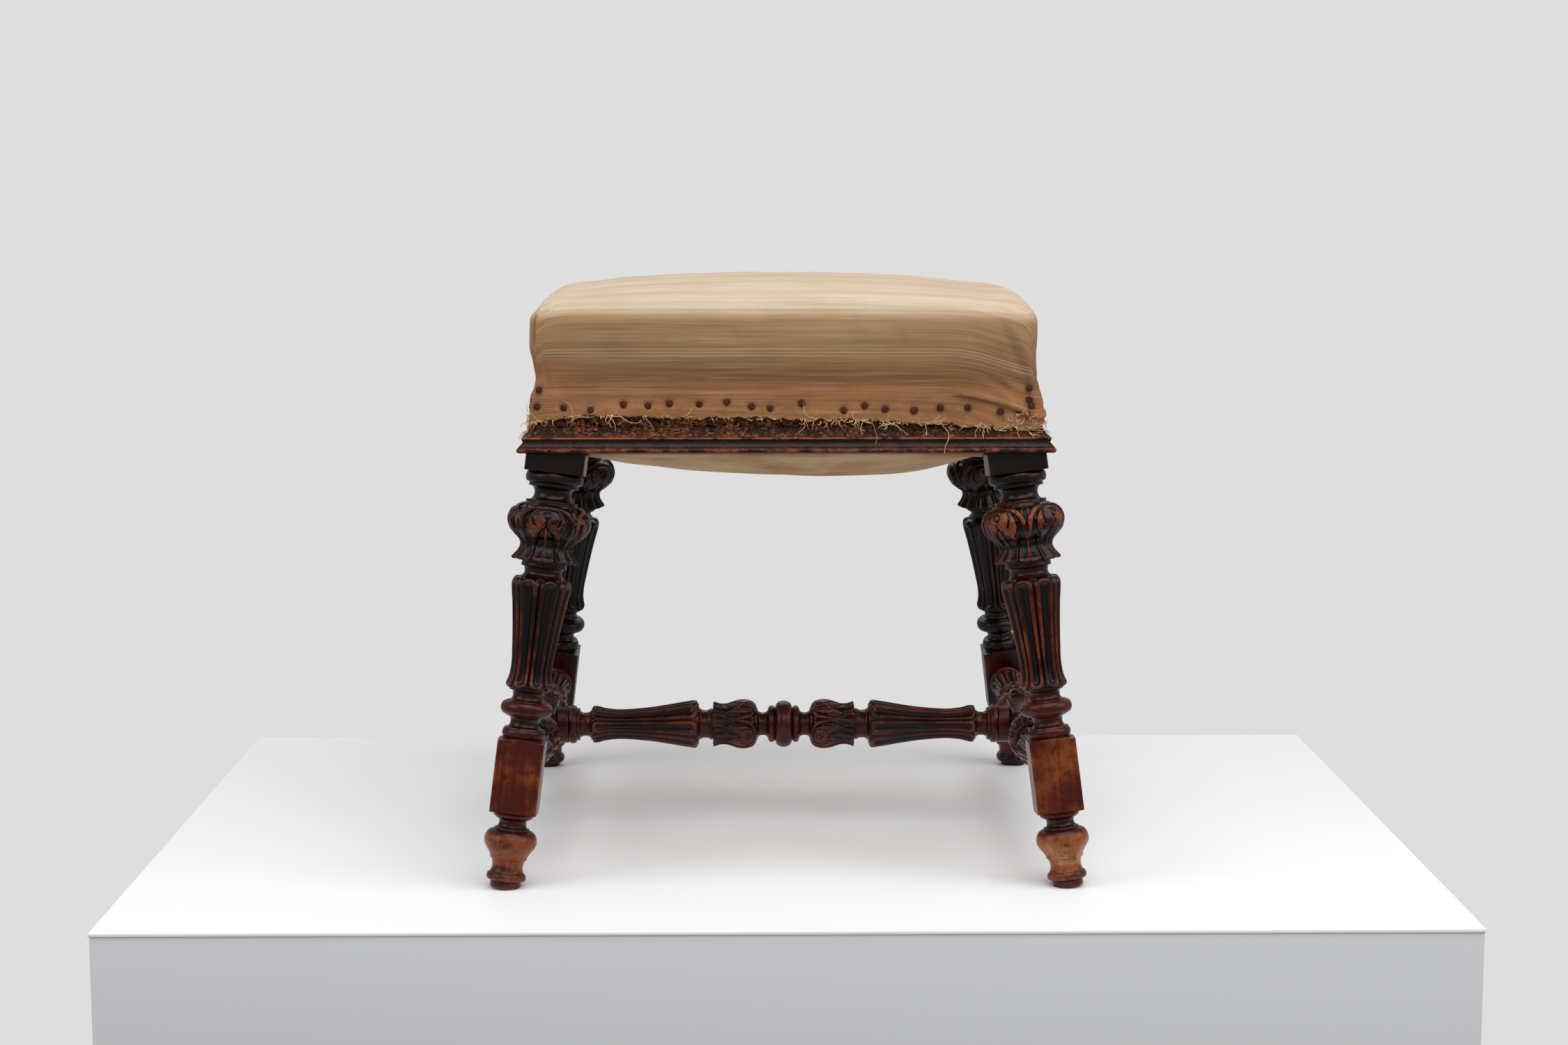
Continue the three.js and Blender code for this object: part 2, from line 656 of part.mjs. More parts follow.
// Underside of the webbing that runs front to back; the straps across lie one thickness lower
function webbingBottom(x, y) {
  return FRAME_BOTTOM - GAP - WEBBING.thickness - WEBBING.sag * pillow(x, y, RAIL_INNER, SAG_POWER);
}

function hessianBottom(x, y) {
  return RAIL_TOP + GAP + HESSIAN.rise * pillow(x, y, RAIL_INNER, CROWN_POWER);
}

// The two edges of a strap
function strapLines(place) {
  return [place - WEBBING.width / 2, place + WEBBING.width / 2];
}

// The lines along a strap: its two landings on the rails and every strap that it crosses
function webbingLines() {
  const landing = [RAIL_INNER - WEBBING.landing, RAIL_INNER, FRAME_HALF - WEBBING.margin];
  const crossings = [-1, 0, 1].flatMap((k) => strapLines(k * WEBBING.pitch));
  return [...landing.map((place) => -place).reverse(), ...crossings, ...landing];
}

// A strap of webbing across the frame, or front to back
function strap(name, place, across) {
  const lengthwise = webbingLines();
  const widthwise = strapLines(place);
  const dip = WEBBING.thickness + GAP;
  const lowered = (x) => (Math.abs(x) < RAIL_INNER ? dip : 0);
  const height = (x, y) => webbingBottom(x, y) - (across ? lowered(x) : 0);
  const geometry = across
    ? sheet(lengthwise, widthwise, WEBBING.thickness, height)
    : sheet(widthwise, lengthwise, WEBBING.thickness, height);
  return named(name, geometry, jute);
}

// A waisted coil whose end turns lie flat on the webbing and under the hessian
function springGeometry(x, y) {
  const seat = betweenLines(webbingLines(), webbingBottom);
  const roof = betweenLines(hessianLines(), hessianBottom);
  const steps = SPRING.turns * SPRING_STEPS;
  const rings = [];
  for (let step = 0; step <= steps; step++) {
    const share = step / steps;
    const angle = 2 * Math.PI * SPRING.turns * share;
    const climb = THREE.MathUtils.smoothstep(share, SPRING_END_TURN_SHARE, 1 - SPRING_END_TURN_SHARE);
    const radius = SPRING.radius - (SPRING.radius - SPRING.waist) * Math.sin(Math.PI * climb);
    const outward = new THREE.Vector3(Math.cos(angle), Math.sin(angle), 0);
    const centre = outward.clone().multiplyScalar(radius);
    const low = seat(x + centre.x, y + centre.y) + WEBBING.thickness + GAP + SPRING.wire;
    const high = roof(x + centre.x, y + centre.y) - GAP - SPRING.wire;
    centre.z = THREE.MathUtils.lerp(low, high, climb);
    const ring = [];
    for (let side = 0; side < WIRE_SIDES; side++) {
      const around = (2 * Math.PI * side) / WIRE_SIDES;
      const point = centre.clone().addScaledVector(outward, SPRING.wire * Math.cos(around));
      point.z -= SPRING.wire * Math.sin(around);
      ring.push(point);
    }
    rings.push(ring);
  }
  return skin(rings);
}

function spring(name, x, y) {
  const mesh = named(name, springGeometry(x, y), springSteel);
  mesh.position.set(x, y, 0);
  return mesh;
}

// The plan outline of the cushion: a square with round corners, drawn through evenly spaced points
function outline(half, corner, z) {
  const inner = half - corner;
  const points = [];
  for (let quarter = 0; quarter < 4; quarter++) {
    const turn = (quarter * Math.PI) / 2;
    const side = spread(-inner, inner, 4).map((y) => new THREE.Vector2(half, y));
    const bend = [1, 2].map((step) => {
      const angle = (step * Math.PI) / 6;
      return new THREE.Vector2(inner + corner * Math.cos(angle), inner + corner * Math.sin(angle));
    });
    for (const point of [...side, ...bend]) {
      point.rotateAround(new THREE.Vector2(0, 0), turn);
      points.push(new THREE.Vector3(point.x, point.y, z));
    }
  }
  return points;
}

// Rings of the cushion's surface from the rails up, set in by a thickness, and its crown
function cushionRings(inset) {
  const wide = FRAME_HALF + GAP + COVER.thickness - inset;
  const edge = RAIL_TOP + CUSHION.edge - inset;
  const corner = COVER.corner - inset;
  const hemCorner = COVER.hemCorner - inset;
  const side = (way) => {
    const pulled = CUSHION.draw * Math.sin((Math.PI / 2) * Math.min(1, way / CUSHION_WAIST_SHARE));
    const released = (CUSHION.draw - CUSHION.shoulder) * THREE.MathUtils.smoothstep(way, CUSHION_WAIST_SHARE, 1);
    return wide - pulled + released;
  };
  const walls = [0, 0.17, CUSHION_WAIST_SHARE, 0.7].map((way) => {
    const z = THREE.MathUtils.lerp(RAIL_TOP, edge - CUSHION.roll, way);
    return outline(side(way), THREE.MathUtils.lerp(hemCorner, corner, THREE.MathUtils.smoothstep(way, 0, 0.6)), z);
  });
  const roll = [0, 1, 2].map((step) => {
    const angle = (step * Math.PI) / 4;
    const back = CUSHION.roll * (1 - Math.cos(angle));
    return outline(side(1) - back, corner, edge - CUSHION.roll * (1 - Math.sin(angle)));
  });
  const top = side(1) - CUSHION.roll;
  const crown = [0.9, 0.72, 0.48, 0.24].map((share) =>
    outline(top * share, corner * share, 0).map((point) => {
      point.z = edge + CUSHION.crown * pillow(point.x, point.y, top, CROWN_POWER);
      return point;
    }),
  );
  return [...walls, ...roll, ...crown, [new THREE.Vector3(0, 0, edge + CUSHION.crown)]];
}

// The cover: a shell over the stuffing that laps down the outside of the rails
function coverGeometry() {
  const wide = FRAME_HALF + GAP + COVER.thickness;
  const foot = RAIL_TOP - COVER.lap;
  const whole = (inset, z) => {
    const hem = outline(wide - inset, COVER.hemCorner - inset, z);
    return solidOf(skin([hem, ...cushionRings(inset)]));
  };
  return geometryOf(whole(0, foot).subtract(whole(COVER.thickness, foot - OVERRUN)));
}

// The stuffing fills the cover from the rails and the hessian up
function stuffingGeometry() {
  const inset = COVER.thickness + GAP;
  const foot = outline(FRAME_HALF, COVER.hemCorner - inset, RAIL_TOP + GAP);
  const pad = solidOf(skin([foot, ...cushionRings(inset).slice(1)]));
  const depth = HESSIAN.rise + OVERRUN;
  const top = (x, y) => hessianBottom(x, y) + HESSIAN.thickness + GAP;
  const hollow = sheet(hessianLines(GAP), hessianLines(GAP), depth, (x, y) => top(x, y) - depth);
  return geometryOf(pad.subtract(solidOf(hollow)));
}

// The lines of the hessian's grid, its outermost ones moved out by a clearance
function hessianLines(clearance = 0) {
  const reach = FRAME_HALF - HESSIAN.margin + clearance;
  return [-reach, ...spread(-RAIL_INNER, RAIL_INNER, 6), reach];
}

function hessianGeometry() {
  return sheet(hessianLines(), hessianLines(), HESSIAN.thickness, hessianBottom);
}

function bottomClothGeometry() {
  const reach = FRAME_HALF - BOTTOM_CLOTH.margin;
  const notch = POST_INNER - BOTTOM_CLOTH.notch;
  const lines = [-reach, -notch, ...spread(-notch, notch, 6).slice(1, -1), notch, reach];
  const keep = (x, y) => Math.abs(x) < notch || Math.abs(y) < notch;
  const top = FRAME_BOTTOM - 2 * (GAP + WEBBING.thickness);
  const height = (x, y) =>
    top - GAP - BOTTOM_CLOTH.thickness - BOTTOM_CLOTH.sag * pillow(x, y, RAIL_INNER, SAG_POWER);
  return sheet(lines, lines, BOTTOM_CLOTH.thickness, height, keep);
}

const stool = new THREE.Group();

for (const [name, x, y, eighths] of [
  ["leg_front_left", -1, -1, 1],
  ["leg_front_right", 1, -1, 0],
  ["leg_back_right", 1, 1, 1],
  ["leg_back_left", -1, 1, 0],
]) {
  stool.add(leg(name, x, y, (eighths * Math.PI) / 4));
}

stool.add(sideStretcher("side_stretcher_left", -1));
stool.add(sideStretcher("side_stretcher_right", 1));
stool.add(crossStretcher("cross_stretcher"));

["front", "right", "back", "left"].forEach((name, quarter) => {
  const side = new THREE.Group();
  side.rotation.z = (quarter * Math.PI) / 2;
  side.add(named("rail_" + name, railGeometry(), rawWood));
  side.add(named("moulding_" + name, mouldingGeometry(), wornWalnut));
  stool.add(side);
});

for (const place of [-1, 0, 1]) {
  stool.add(strap("webbing_across_" + (place + 2), place * WEBBING.pitch, true));
  stool.add(strap("webbing_lengthwise_" + (place + 2), place * WEBBING.pitch, false));
}

[
  [-1, -1],
  [1, -1],
  [0, 0],
  [-1, 1],
  [1, 1],
].forEach(([x, y], k) => stool.add(spring("spring_" + (k + 1), x * WEBBING.pitch, y * WEBBING.pitch)));

stool.add(named("hessian", hessianGeometry(), jute));
stool.add(named("stuffing", stuffingGeometry(), horsehair));
stool.add(named("seat_cover", coverGeometry(), ticking));
stool.add(named("bottom_cloth", bottomClothGeometry(), calico));

export default stool;
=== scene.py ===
"""Looks for a carved walnut stool with a stuffed ticking seat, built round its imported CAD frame."""

import json
import math

import bpy
import numpy as np
from mathutils import Matrix, Vector

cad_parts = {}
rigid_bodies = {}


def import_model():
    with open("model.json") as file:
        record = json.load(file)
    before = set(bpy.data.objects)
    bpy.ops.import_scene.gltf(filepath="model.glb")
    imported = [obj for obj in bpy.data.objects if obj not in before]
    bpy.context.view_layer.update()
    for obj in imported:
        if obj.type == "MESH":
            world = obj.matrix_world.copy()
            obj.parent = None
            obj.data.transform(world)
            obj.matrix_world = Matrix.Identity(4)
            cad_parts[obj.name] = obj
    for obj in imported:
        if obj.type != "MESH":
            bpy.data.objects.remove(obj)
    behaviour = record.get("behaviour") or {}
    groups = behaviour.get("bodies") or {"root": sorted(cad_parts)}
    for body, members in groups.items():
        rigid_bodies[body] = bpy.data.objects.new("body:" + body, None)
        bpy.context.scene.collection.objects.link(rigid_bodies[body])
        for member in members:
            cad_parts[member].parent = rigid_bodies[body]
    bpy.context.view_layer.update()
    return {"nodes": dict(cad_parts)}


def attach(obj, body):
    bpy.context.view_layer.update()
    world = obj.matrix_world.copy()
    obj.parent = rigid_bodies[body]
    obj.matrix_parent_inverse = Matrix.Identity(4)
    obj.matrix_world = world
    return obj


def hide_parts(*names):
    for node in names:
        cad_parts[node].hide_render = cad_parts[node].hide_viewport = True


MM = 0.001
SEED = 11

# The stool's sizes in millimetres
FRAME_HALF = 200.0
FRAME_BOTTOM = 343.01
RAIL_TOP = 392.01
POST_WIDTH = 42.0
RAIL_THICKNESS = 26.0
RAIL_BEVEL = (385.0, 5.0)
LEG_INSET = 19.75
SPLAY = 42.75
FOOT_REACH = FRAME_HALF - LEG_INSET + SPLAY
STRETCHER_Z = 85.0
STRETCHER_X = 212.41
GAP = 0.3
SIDES = ("front", "right", "back", "left")

# How fine the turned pieces are: millimetres along the outline, and points round them
OUTLINE_PACE = 0.62
LEG_AROUND = 320
CROSS_AROUND = 256
SIDE_AROUND = 240

# The leg's square blocks, the lower one with its shoulder: from, to, half width
LOWER_BLOCK = (60.0, 118.8, 18.5)
UPPER_BLOCK = (329.8, 352.5, 23.3)

# Rings of a turning: form, from, to, radius at from, radius at to, radius between
LEG_TURNING = (
    ("line", 0.0, 0.5, 11.2, 12.0),
    ("line", 5.0, 5.7, 12.0, 11.6),
    ("bead", 5.8, 11.4, 13.6, 14.4, 15.7),
    ("cove", 11.5, 23.0, 14.9, 14.6, 12.2),
    ("vase", 23.0, 46.0, 14.6, 14.4, 21.0),
    ("line", 46.1, 47.5, 13.9, 13.9),
    ("cove", 47.6, 55.0, 12.9, 13.2, 10.75),
    ("line", 55.1, 55.8, 14.0, 14.0),
    ("bead", 55.9, 59.9, 14.6, 15.0, 15.8),
    ("line", 60.0, 60.1, 15.2, 25.4),
    ("line", 60.9, 116.2, 26.4, 26.4),
    ("line", 116.9, 118.2, 25.6, 18.0),
    ("line", 118.5, 118.9, 17.0, 16.4),
    ("bead", 119.0, 126.0, 15.6, 15.4, 17.0),
    ("line", 126.1, 127.0, 15.6, 15.6),
    ("cove", 127.1, 135.9, 14.2, 14.4, 11.5),
    ("line", 136.0, 136.8, 15.6, 15.6),
    ("bead", 136.9, 147.6, 16.6, 16.6, 20.5),
    ("line", 147.7, 148.4, 16.2, 16.2),
    ("cove", 148.5, 156.4, 14.6, 14.2, 12.0),
    ("carved", 156.5, 246.6, 15.6, 20.2, 0.0),
    ("cove", 246.7, 254.6, 18.6, 16.4, 14.8),
    ("line", 254.7, 257.0, 18.0, 18.0),
    ("carved", 257.1, 304.6, 22.2, 22.4, 0.0),
    ("line", 304.7, 307.4, 20.4, 20.4),
    ("cove", 307.5, 318.1, 18.2, 17.8, 14.5),
    ("line", 318.2, 321.2, 19.5, 19.5),
    ("bead", 321.3, 329.7, 20.6, 21.0, 22.8),
    ("line", 329.8, 329.9, 22.0, 32.6),
    ("line", 330.6, 352.5, 33.4, 33.4),
)
LEG_SHAPES = {
    156.5: ((156.5, 15.6), (158.4, 17.6), (160.6, 18.3), (165.0, 17.0), (171.0, 15.9), (177.0, 15.7),
            (190.0, 16.7), (207.0, 18.5), (225.0, 20.8), (242.0, 23.1), (245.0, 22.6), (246.6, 20.2)),
    257.1: ((257.1, 22.2), (259.0, 24.8), (261.3, 25.4), (264.5, 23.2), (268.0, 21.2), (271.0, 20.7),
            (275.0, 22.6), (279.0, 26.8), (284.0, 31.0), (291.5, 32.8), (297.0, 31.4), (301.5, 28.4),
            (304.6, 22.4)),
}
# Each leg: its sides of the stool, eighths of a turn of its carving, wear of its edges, and added paleness,
# which darkens the back legs as painted shade
LEGS = (
    ("leg_front_left", -1, -1, 0, 0.62, -0.06),
    ("leg_front_right", 1, -1, 1, 0.85, 0.02),
    ("leg_back_right", 1, 1, 0, 0.15, -0.34),
    ("leg_back_left", -1, 1, 1, 0.15, -0.34),
)
LEG_FLUTES = (157.2, 246.4)
LEG_LEAVES = (258.0, 304.4)

CROSS_TURNING = (
    ("bead", -7.2, 7.2, 14.6, 14.6, 20.2),
    ("bead", 7.6, 13.2, 13.6, 13.6, 16.0),
    ("line", 13.3, 13.6, 13.4, 13.4),
    ("cove", 13.7, 22.6, 12.6, 12.8, 9.85),
    ("carved", 22.7, 62.4, 14.0, 17.6, 0.0),
    ("cove", 62.5, 73.2, 15.4, 15.0, 12.0),
    ("carved", 73.3, 167.0, 17.8, 13.6, 0.0),
    ("cove", 167.1, 176.6, 12.8, 12.6, 10.0),
    ("line", 176.7, 179.2, 14.0, 14.0),
    ("bead", 179.3, 186.2, 14.6, 14.6, 16.6),
    ("line", 186.3, 196.0, 16.0, 16.2),
)
CROSS_SHAPES = {
    22.7: ((22.7, 14.0), (24.6, 17.6), (28.0, 19.9), (34.6, 21.3), (40.5, 20.6), (46.0, 18.9),
           (51.0, 17.8), (54.5, 17.8), (57.5, 18.6), (59.6, 19.0), (61.4, 18.4), (62.4, 17.6)),
    73.3: ((73.3, 17.8), (74.8, 19.7), (76.6, 20.3), (84.0, 19.4), (100.0, 16.7), (120.0, 13.9),
           (142.0, 12.5), (154.0, 13.6), (162.0, 15.5), (164.6, 15.6), (167.0, 13.6)),
}
SIDE_TURNING = (
    ("cove", 32.0, 39.6, 14.2, 13.4, 12.0),
    ("carved", 39.7, 82.2, 14.5, 17.8, 0.0),
    ("cove", 82.3, 91.0, 15.0, 14.4, 11.5),
    ("carved", 91.1, 175.4, 16.2, 12.8, 0.0),
    ("cove", 175.5, 182.0, 12.4, 12.2, 10.0),
    ("bead", 182.1, 188.2, 13.4, 13.4, 15.8),
    ("line", 188.3, 201.0, 14.6, 14.6),
)
SIDE_SHAPES = {
    39.7: ((39.7, 14.5), (41.6, 18.0), (45.4, 20.4), (52.4, 21.8), (59.0, 20.8), (65.0, 18.0),
           (70.2, 16.5), (74.0, 16.9), (77.2, 18.8), (79.4, 19.6), (81.2, 19.0), (82.2, 17.8)),
    91.1: ((91.1, 16.2), (92.6, 17.8), (94.4, 18.4), (105.0, 16.7), (125.0, 13.4), (145.0, 11.6),
           (160.0, 12.6), (169.0, 14.2), (172.6, 14.5), (175.4, 12.8)),
}
# The block in the middle of a side stretcher, along it and across
JOINT_BLOCK = (64.0, 32.0)

# Where the stretchers are carved, how deep beside the legs, and how dark they are
CROSS_FLUTES = (73.6, 166.8)
CROSS_LEAVES = (23.2, 62.0)
SIDE_FLUTES = (91.4, 175.2)
SIDE_LEAVES = (40.2, 81.8)
CARVING_SHARE = 0.72
STRETCHER_TONE = 0.34

# Leaf relief on one half of a leaf: across it in millimetres on a radius of 30, up it as on the leg's bulb
LEAF_RADIUS = 30.0
LEAF_SINK = 2.6
LOBE_WIDTH = LEAF_RADIUS * math.pi / 8
DOME = ((0.0, 302.0), (6.0, 301.7), (10.5, 300.4), (14.0, 296.7), (16.2, 291.5), (17.2, 286.0), (16.3, 280.5),
        (14.8, 275.5), (13.2, 271.0), (12.4, 265.0), (11.4, 265.0), (11.0, 271.0), (8.2, 275.5), (5.9, 280.0),
        (3.3, 284.0), (0.0, 286.4))
RIBS = (
    (2.9, 2.2, ((23.5, 264.0), (23.3, 275.0), (22.4, 281.0), (21.1, 289.8), (20.2, 294.0), (16.8, 298.9),
                (12.0, 302.0), (6.0, 303.7), (0.0, 304.3))),
    (2.3, 1.4, ((0.0, 284.2), (0.0, 262.0))),
    (1.5, 1.0, ((19.4, 266.0), (19.6, 275.0), (20.4, 281.0))),
)
GOUGES = (
    (1.9, 0.95, ((9.0, 298.6), (10.4, 296.0), (10.6, 292.6), (9.4, 289.0), (8.4, 287.6))),
    (1.9, 1.0, ((16.0, 290.8), (16.2, 287.0), (15.2, 282.6), (13.2, 279.4))),
    (1.5, 0.8, ((13.4, 277.2), (14.2, 272.8), (14.8, 269.0))),
    (1.8, 0.8, ((0.0, 292.6), (0.0, 286.0))),
    (1.6, 1.5, ((23.5, 303.2), (23.5, 298.0), (23.5, 294.0))),
)

# The cushion: half its width by height, its hem along one side, and its crown
COVER_HEM_Z = 366.0
COVER_SIDE = ((350.0, 202.6), (362.0, 201.9), (372.0, 201.2), (381.0, 200.9), (387.0, 199.9), (393.0, 197.6),
              (402.0, 196.4), (414.0, 196.3), (432.0, 197.4), (445.0, 197.8), (450.0, 197.1), (453.0, 195.6))
COVER_HEM = ((-203, 0.5), (-196, 1.5), (-181, 3.5), (-158, 5.5), (-130, 6.0), (-87, 4.6), (-30, 3.4),
             (2, 3.2), (59, 2.0), (87, 0.8), (116, -0.6), (144, -2.2), (172, -4.6), (203, -6.3))
COVER_AROUND = 1440
COVER_THICKNESS = 1.1
HEM_ROWS = 22
SIDE_ROWS = 46
CROWN_ROWS = 120
CUSHION_EDGE_Z = 453.0
CUSHION_CROWN = 22.4
CUSHION_CORNER = 20.0
CROWN_SQUARENESS = 0.45
STRIPES = (0.2309, 0.2333, 0.2356)

# The front's tacks as they were driven: along the front and up
FRONT_TACKS = ((-193.2, 392), (-194.9, 379), (-174.3, 378), (-153, 376.4), (-127.5, 380.7), (-108.5, 379.6),
               (-91.7, 381.5), (-68.3, 380.7), (-46.6, 382.6), (-27.5, 379), (-12.9, 377.5), (11.9, 381.5),
               (44.7, 375.8), (61, 379.6), (77.1, 377), (99.9, 375.8), (120.3, 378), (141.7, 378),
               (167.5, 375), (181.5, 376), (189.8, 393), (189.8, 384), (191.5, 379.6), (189, 372.7))
RIGHT_CREASE = ((130, 387.6), (136.6, 386.6), (156.7, 383.4), (167, 381), (178.4, 378), (203, 370))
TACK_Z = 378.0
TACKS_A_SIDE = 22
TACK_RADIUS = 2.8
TACK_RISE = 0.4
# A tack's head: share of its radius, and height
TACK_RINGS = ((0.97, -2.5), (1.0, 0.0), (0.96, 0.25), (0.75, 0.62), (0.4, 0.75))

# Threads on each side: in tufts, scattered, of the torn flap, at the left corner, and short ones
THREADS = {"tuft": 74, "scattered": 22, "flap": 24, "corner": 16, "short": 120}
SPLINTERS_A_SIDE = 90
# Red scraps: along the front, up, and size
SCRAPS = ((-153.6, 360.2, 3.0), (-125.4, 359.1, 2.6), (165.4, 381.2, 1.6), (188.2, 371.0, 3.4))

# How fine the moulding, rails and posts are, and how many old tack holes each has
MOULDING_STEPS = 720
RAIL_STEPS = 640
POST_STEPS = 80
MOULDING_HOLES = 150
RAIL_HOLES = 190
POST_HOLES = 44

# The cloth under the seat and the straps over it, in millimetres but for the cloth's flat side in metres
BOTTOM_CLOTH_SAG = 33.0
BOTTOM_CLOTH_THICKNESS = 0.9
STRAP_WIDTH = 50.0
STRAP_SPACING = 95.0
STRAP_SAG = 24
STRAP_THICKNESS = 1.4

# Colours as they look on a screen, 0 to 255
WALL_GREY = (221, 221, 221)
PLINTH_WHITE = (241, 242, 243)
# The plinth's sides, painted grey as painted shade of the white plinth
PLINTH_SHADE_GREY = (214, 215, 217)

# The setting: half the plinth's size in millimetres, then lamps and camera in metres, watts and degrees
PLINTH_HALF = (521, 351)
PLINTH_HEIGHT = 330
AMBIENT = 0.36
LAMPS = (
    ("lamp_key", (0.4, -1.4, 2.6), 58, 2.8),
    ("lamp_left", (-2.2, -1.1, 1.6), 19, 1.6),
    ("lamp_right", (2.3, -0.9, 1.5), 19, 1.6),
    ("lamp_back", (0, 2.2, 2.2), 17, 2.0),
)
LAMP_AIM = (0, 0, 0.25)
CAMERA_PLACE = (-0.0276, -2.292, 0.558)
CAMERA_LENS = 61.6
CAMERA_DOWN = 7.37
CAMERA_LEFT = -0.70


def shade(red, green, blue):
    """A screen colour as the linear colour that a shader takes."""
    return [(c / 255) ** 2.2 for c in (red, green, blue)] + [1.0]


# Mesh helpers

def smooth(low, high, value):
    """From 0 at low to 1 at high, with a soft start and end."""
    way = np.clip((value - low) / (high - low), 0, 1)
    return way * way * (3 - 2 * way)


def build_mesh(name, points, faces, material):
    """A mesh object from points in millimetres and faces."""
    mesh = bpy.data.meshes.new(name)
    points = np.asarray(points, float) * MM
    mesh.vertices.add(len(points))
    mesh.vertices.foreach_set("co", points.ravel())
    loops = np.concatenate([np.asarray(f).ravel() for f in faces])
    sizes = np.concatenate([np.full(len(f), np.asarray(f).shape[1]) for f in faces])
    starts = np.concatenate([[0], np.cumsum(sizes)[:-1]])
    mesh.loops.add(len(loops))
    mesh.loops.foreach_set("vertex_index", loops)
    mesh.polygons.add(len(sizes))
    mesh.polygons.foreach_set("loop_start", starts)
    mesh.update(calc_edges=True)
    mesh.validate()
    mesh.polygons.foreach_set("use_smooth", np.ones(len(sizes), bool))
    thing = bpy.data.objects.new(name, mesh)
    bpy.context.scene.collection.objects.link(thing)
    mesh.materials.append(material)
    return thing


def add_values(thing, name, values, kind="FLOAT", field="value"):
    """An attribute of the vertices; the last ones, which close a tube, are 0 where no value is given."""
    flat = np.zeros(len(thing.data.vertices) * (3 if field == "vector" else 1), np.float32)
    flat[:np.size(values)] = np.ravel(values)
    attribute = thing.data.attributes.new(name, kind, "POINT")
    attribute.data.foreach_set(field, flat)


def add_vectors(thing, name, values):
    add_values(thing, name, values, "FLOAT_VECTOR", "vector")


def add_scars(thing, torn, pit):
    """How torn and how black the wood is at each vertex."""
    add_values(thing, "torn", torn)
    add_values(thing, "pit", pit)


def tube_faces(rings, around):
    """Quads of a tube of rings, and fans that close its two ends at two points added after the rings."""
    ring = np.arange(rings - 1)[:, None] * around
    one = np.arange(around)
    two = (one + 1) % around
    quads = np.stack([ring + one, ring + two, ring + around + two, ring + around + one], -1)
    last = (rings - 1) * around
    low, high = rings * around, rings * around + 1
    floor = np.stack([two, one, np.full(around, low)], -1)
    roof = np.stack([last + one, last + two, np.full(around, high)], -1)
    return [quads.reshape(-1, 4), floor, roof]


def tube(name, rings, material, ends=None):
    """A tube of rings, closed at both ends: at the given points, or at the middles of its end rings."""
    ends = [rings[0].mean(0), rings[-1].mean(0)] if ends is None else ends
    points = np.concatenate([rings.reshape(-1, 3), ends])
    return build_mesh(name, points, tube_faces(len(rings), rings.shape[1]), material)


def build_many(name, parts, material):
    """One mesh from many parts, each with its points and its faces."""
    points, quads, triangles, start = [], [], [], 0
    for spots, faces in parts:
        points.append(spots)
        for group in faces:
            (quads if group.shape[1] == 4 else triangles).append(group + start)
        start += len(spots)
    merged = [np.concatenate(groups) for groups in (quads, triangles) if groups]
    return build_mesh(name, np.concatenate(points), merged, material)


def grid_quads(rows, columns):
    """The quads between the points of a grid."""
    grid = np.arange(rows * columns).reshape(rows, columns)
    return np.stack([grid[:-1, :-1], grid[1:, :-1], grid[1:, 1:], grid[:-1, 1:]], -1)


def lattice_noise(shape, cells, rng, wrap=False):
    """Smooth noise from -1 to 1 on a grid, from a coarse lattice; wrap joins its last column to its first."""
    coarse = rng.uniform(-1, 1, (cells[0] + 1, cells[1] + 1))
    if wrap:
        coarse[:, -1] = coarse[:, 0]
    u = np.linspace(0, cells[0], shape[0])
    v = np.linspace(0, cells[1], shape[1], endpoint=not wrap)
    return lattice_at(u[:, None], v[None, :], coarse)


def layered_noise(shape, layers, rng, wrap=False):
    """A sum of lattice noises, each with its cells down and across and its strength."""
    return sum(lattice_noise(shape, layer[:2], rng, wrap) * layer[2] for layer in layers)


def lattice_at(u, v, coarse):
    """Smooth noise at places that are counted in cells of a coarse lattice."""
    i = np.clip(u.astype(int), 0, coarse.shape[0] - 2)
    j = np.clip(v.astype(int), 0, coarse.shape[1] - 2)
    a, b = smooth(0, 1, u - i), smooth(0, 1, v - j)
    low = coarse[i, j] * (1 - b) + coarse[i, j + 1] * b
    high = coarse[i + 1, j] * (1 - b) + coarse[i + 1, j + 1] * b
    return low * (1 - a) + high * a


def blurred(grid, reach):
    """A grid of rings softened over a few neighbours, round each ring and along them."""
    steps = np.arange(-2 * reach, 2 * reach + 1)
    weights = np.exp(-0.5 * (steps / reach) ** 2)
    weights /= weights.sum()
    around = sum(w * np.roll(grid, k, 1) for k, w in zip(steps, weights))
    padded = np.pad(around, ((2 * reach, 2 * reach), (0, 0)), mode="edge")
    rows = len(grid)
    return sum(w * padded[2 * reach + k:2 * reach + k + rows] for k, w in zip(steps, weights))


# Turning and carving

def turned_points(form, low, high, start, end, between=0.0, shape=()):
    """The outline of one turned form, as places along the piece and radii."""
    if form == "line":
        return [(low, start), (high, end)]
    if form == "carved":
        places, radii = zip(*shape)
        fine = np.linspace(low, high, int((high - low) / 0.5))
        return list(zip(fine, rounded(places, radii, fine)))
    angles = np.linspace(0, math.pi, 17)
    way = (1 - np.cos(angles)) / 2
    straight = start + (end - start) * way
    swell = np.sin(angles)
    if form == "vase":
        belly = 0.6
        swell = np.where(way < belly, (1 - np.cos(math.pi * way / belly)) / 2,
                         np.sqrt(np.clip(1 - ((way - belly) / (1 - belly)) ** 2, 0, 1)))
    return list(zip(low + (high - low) * way, straight + (between - straight) * swell))


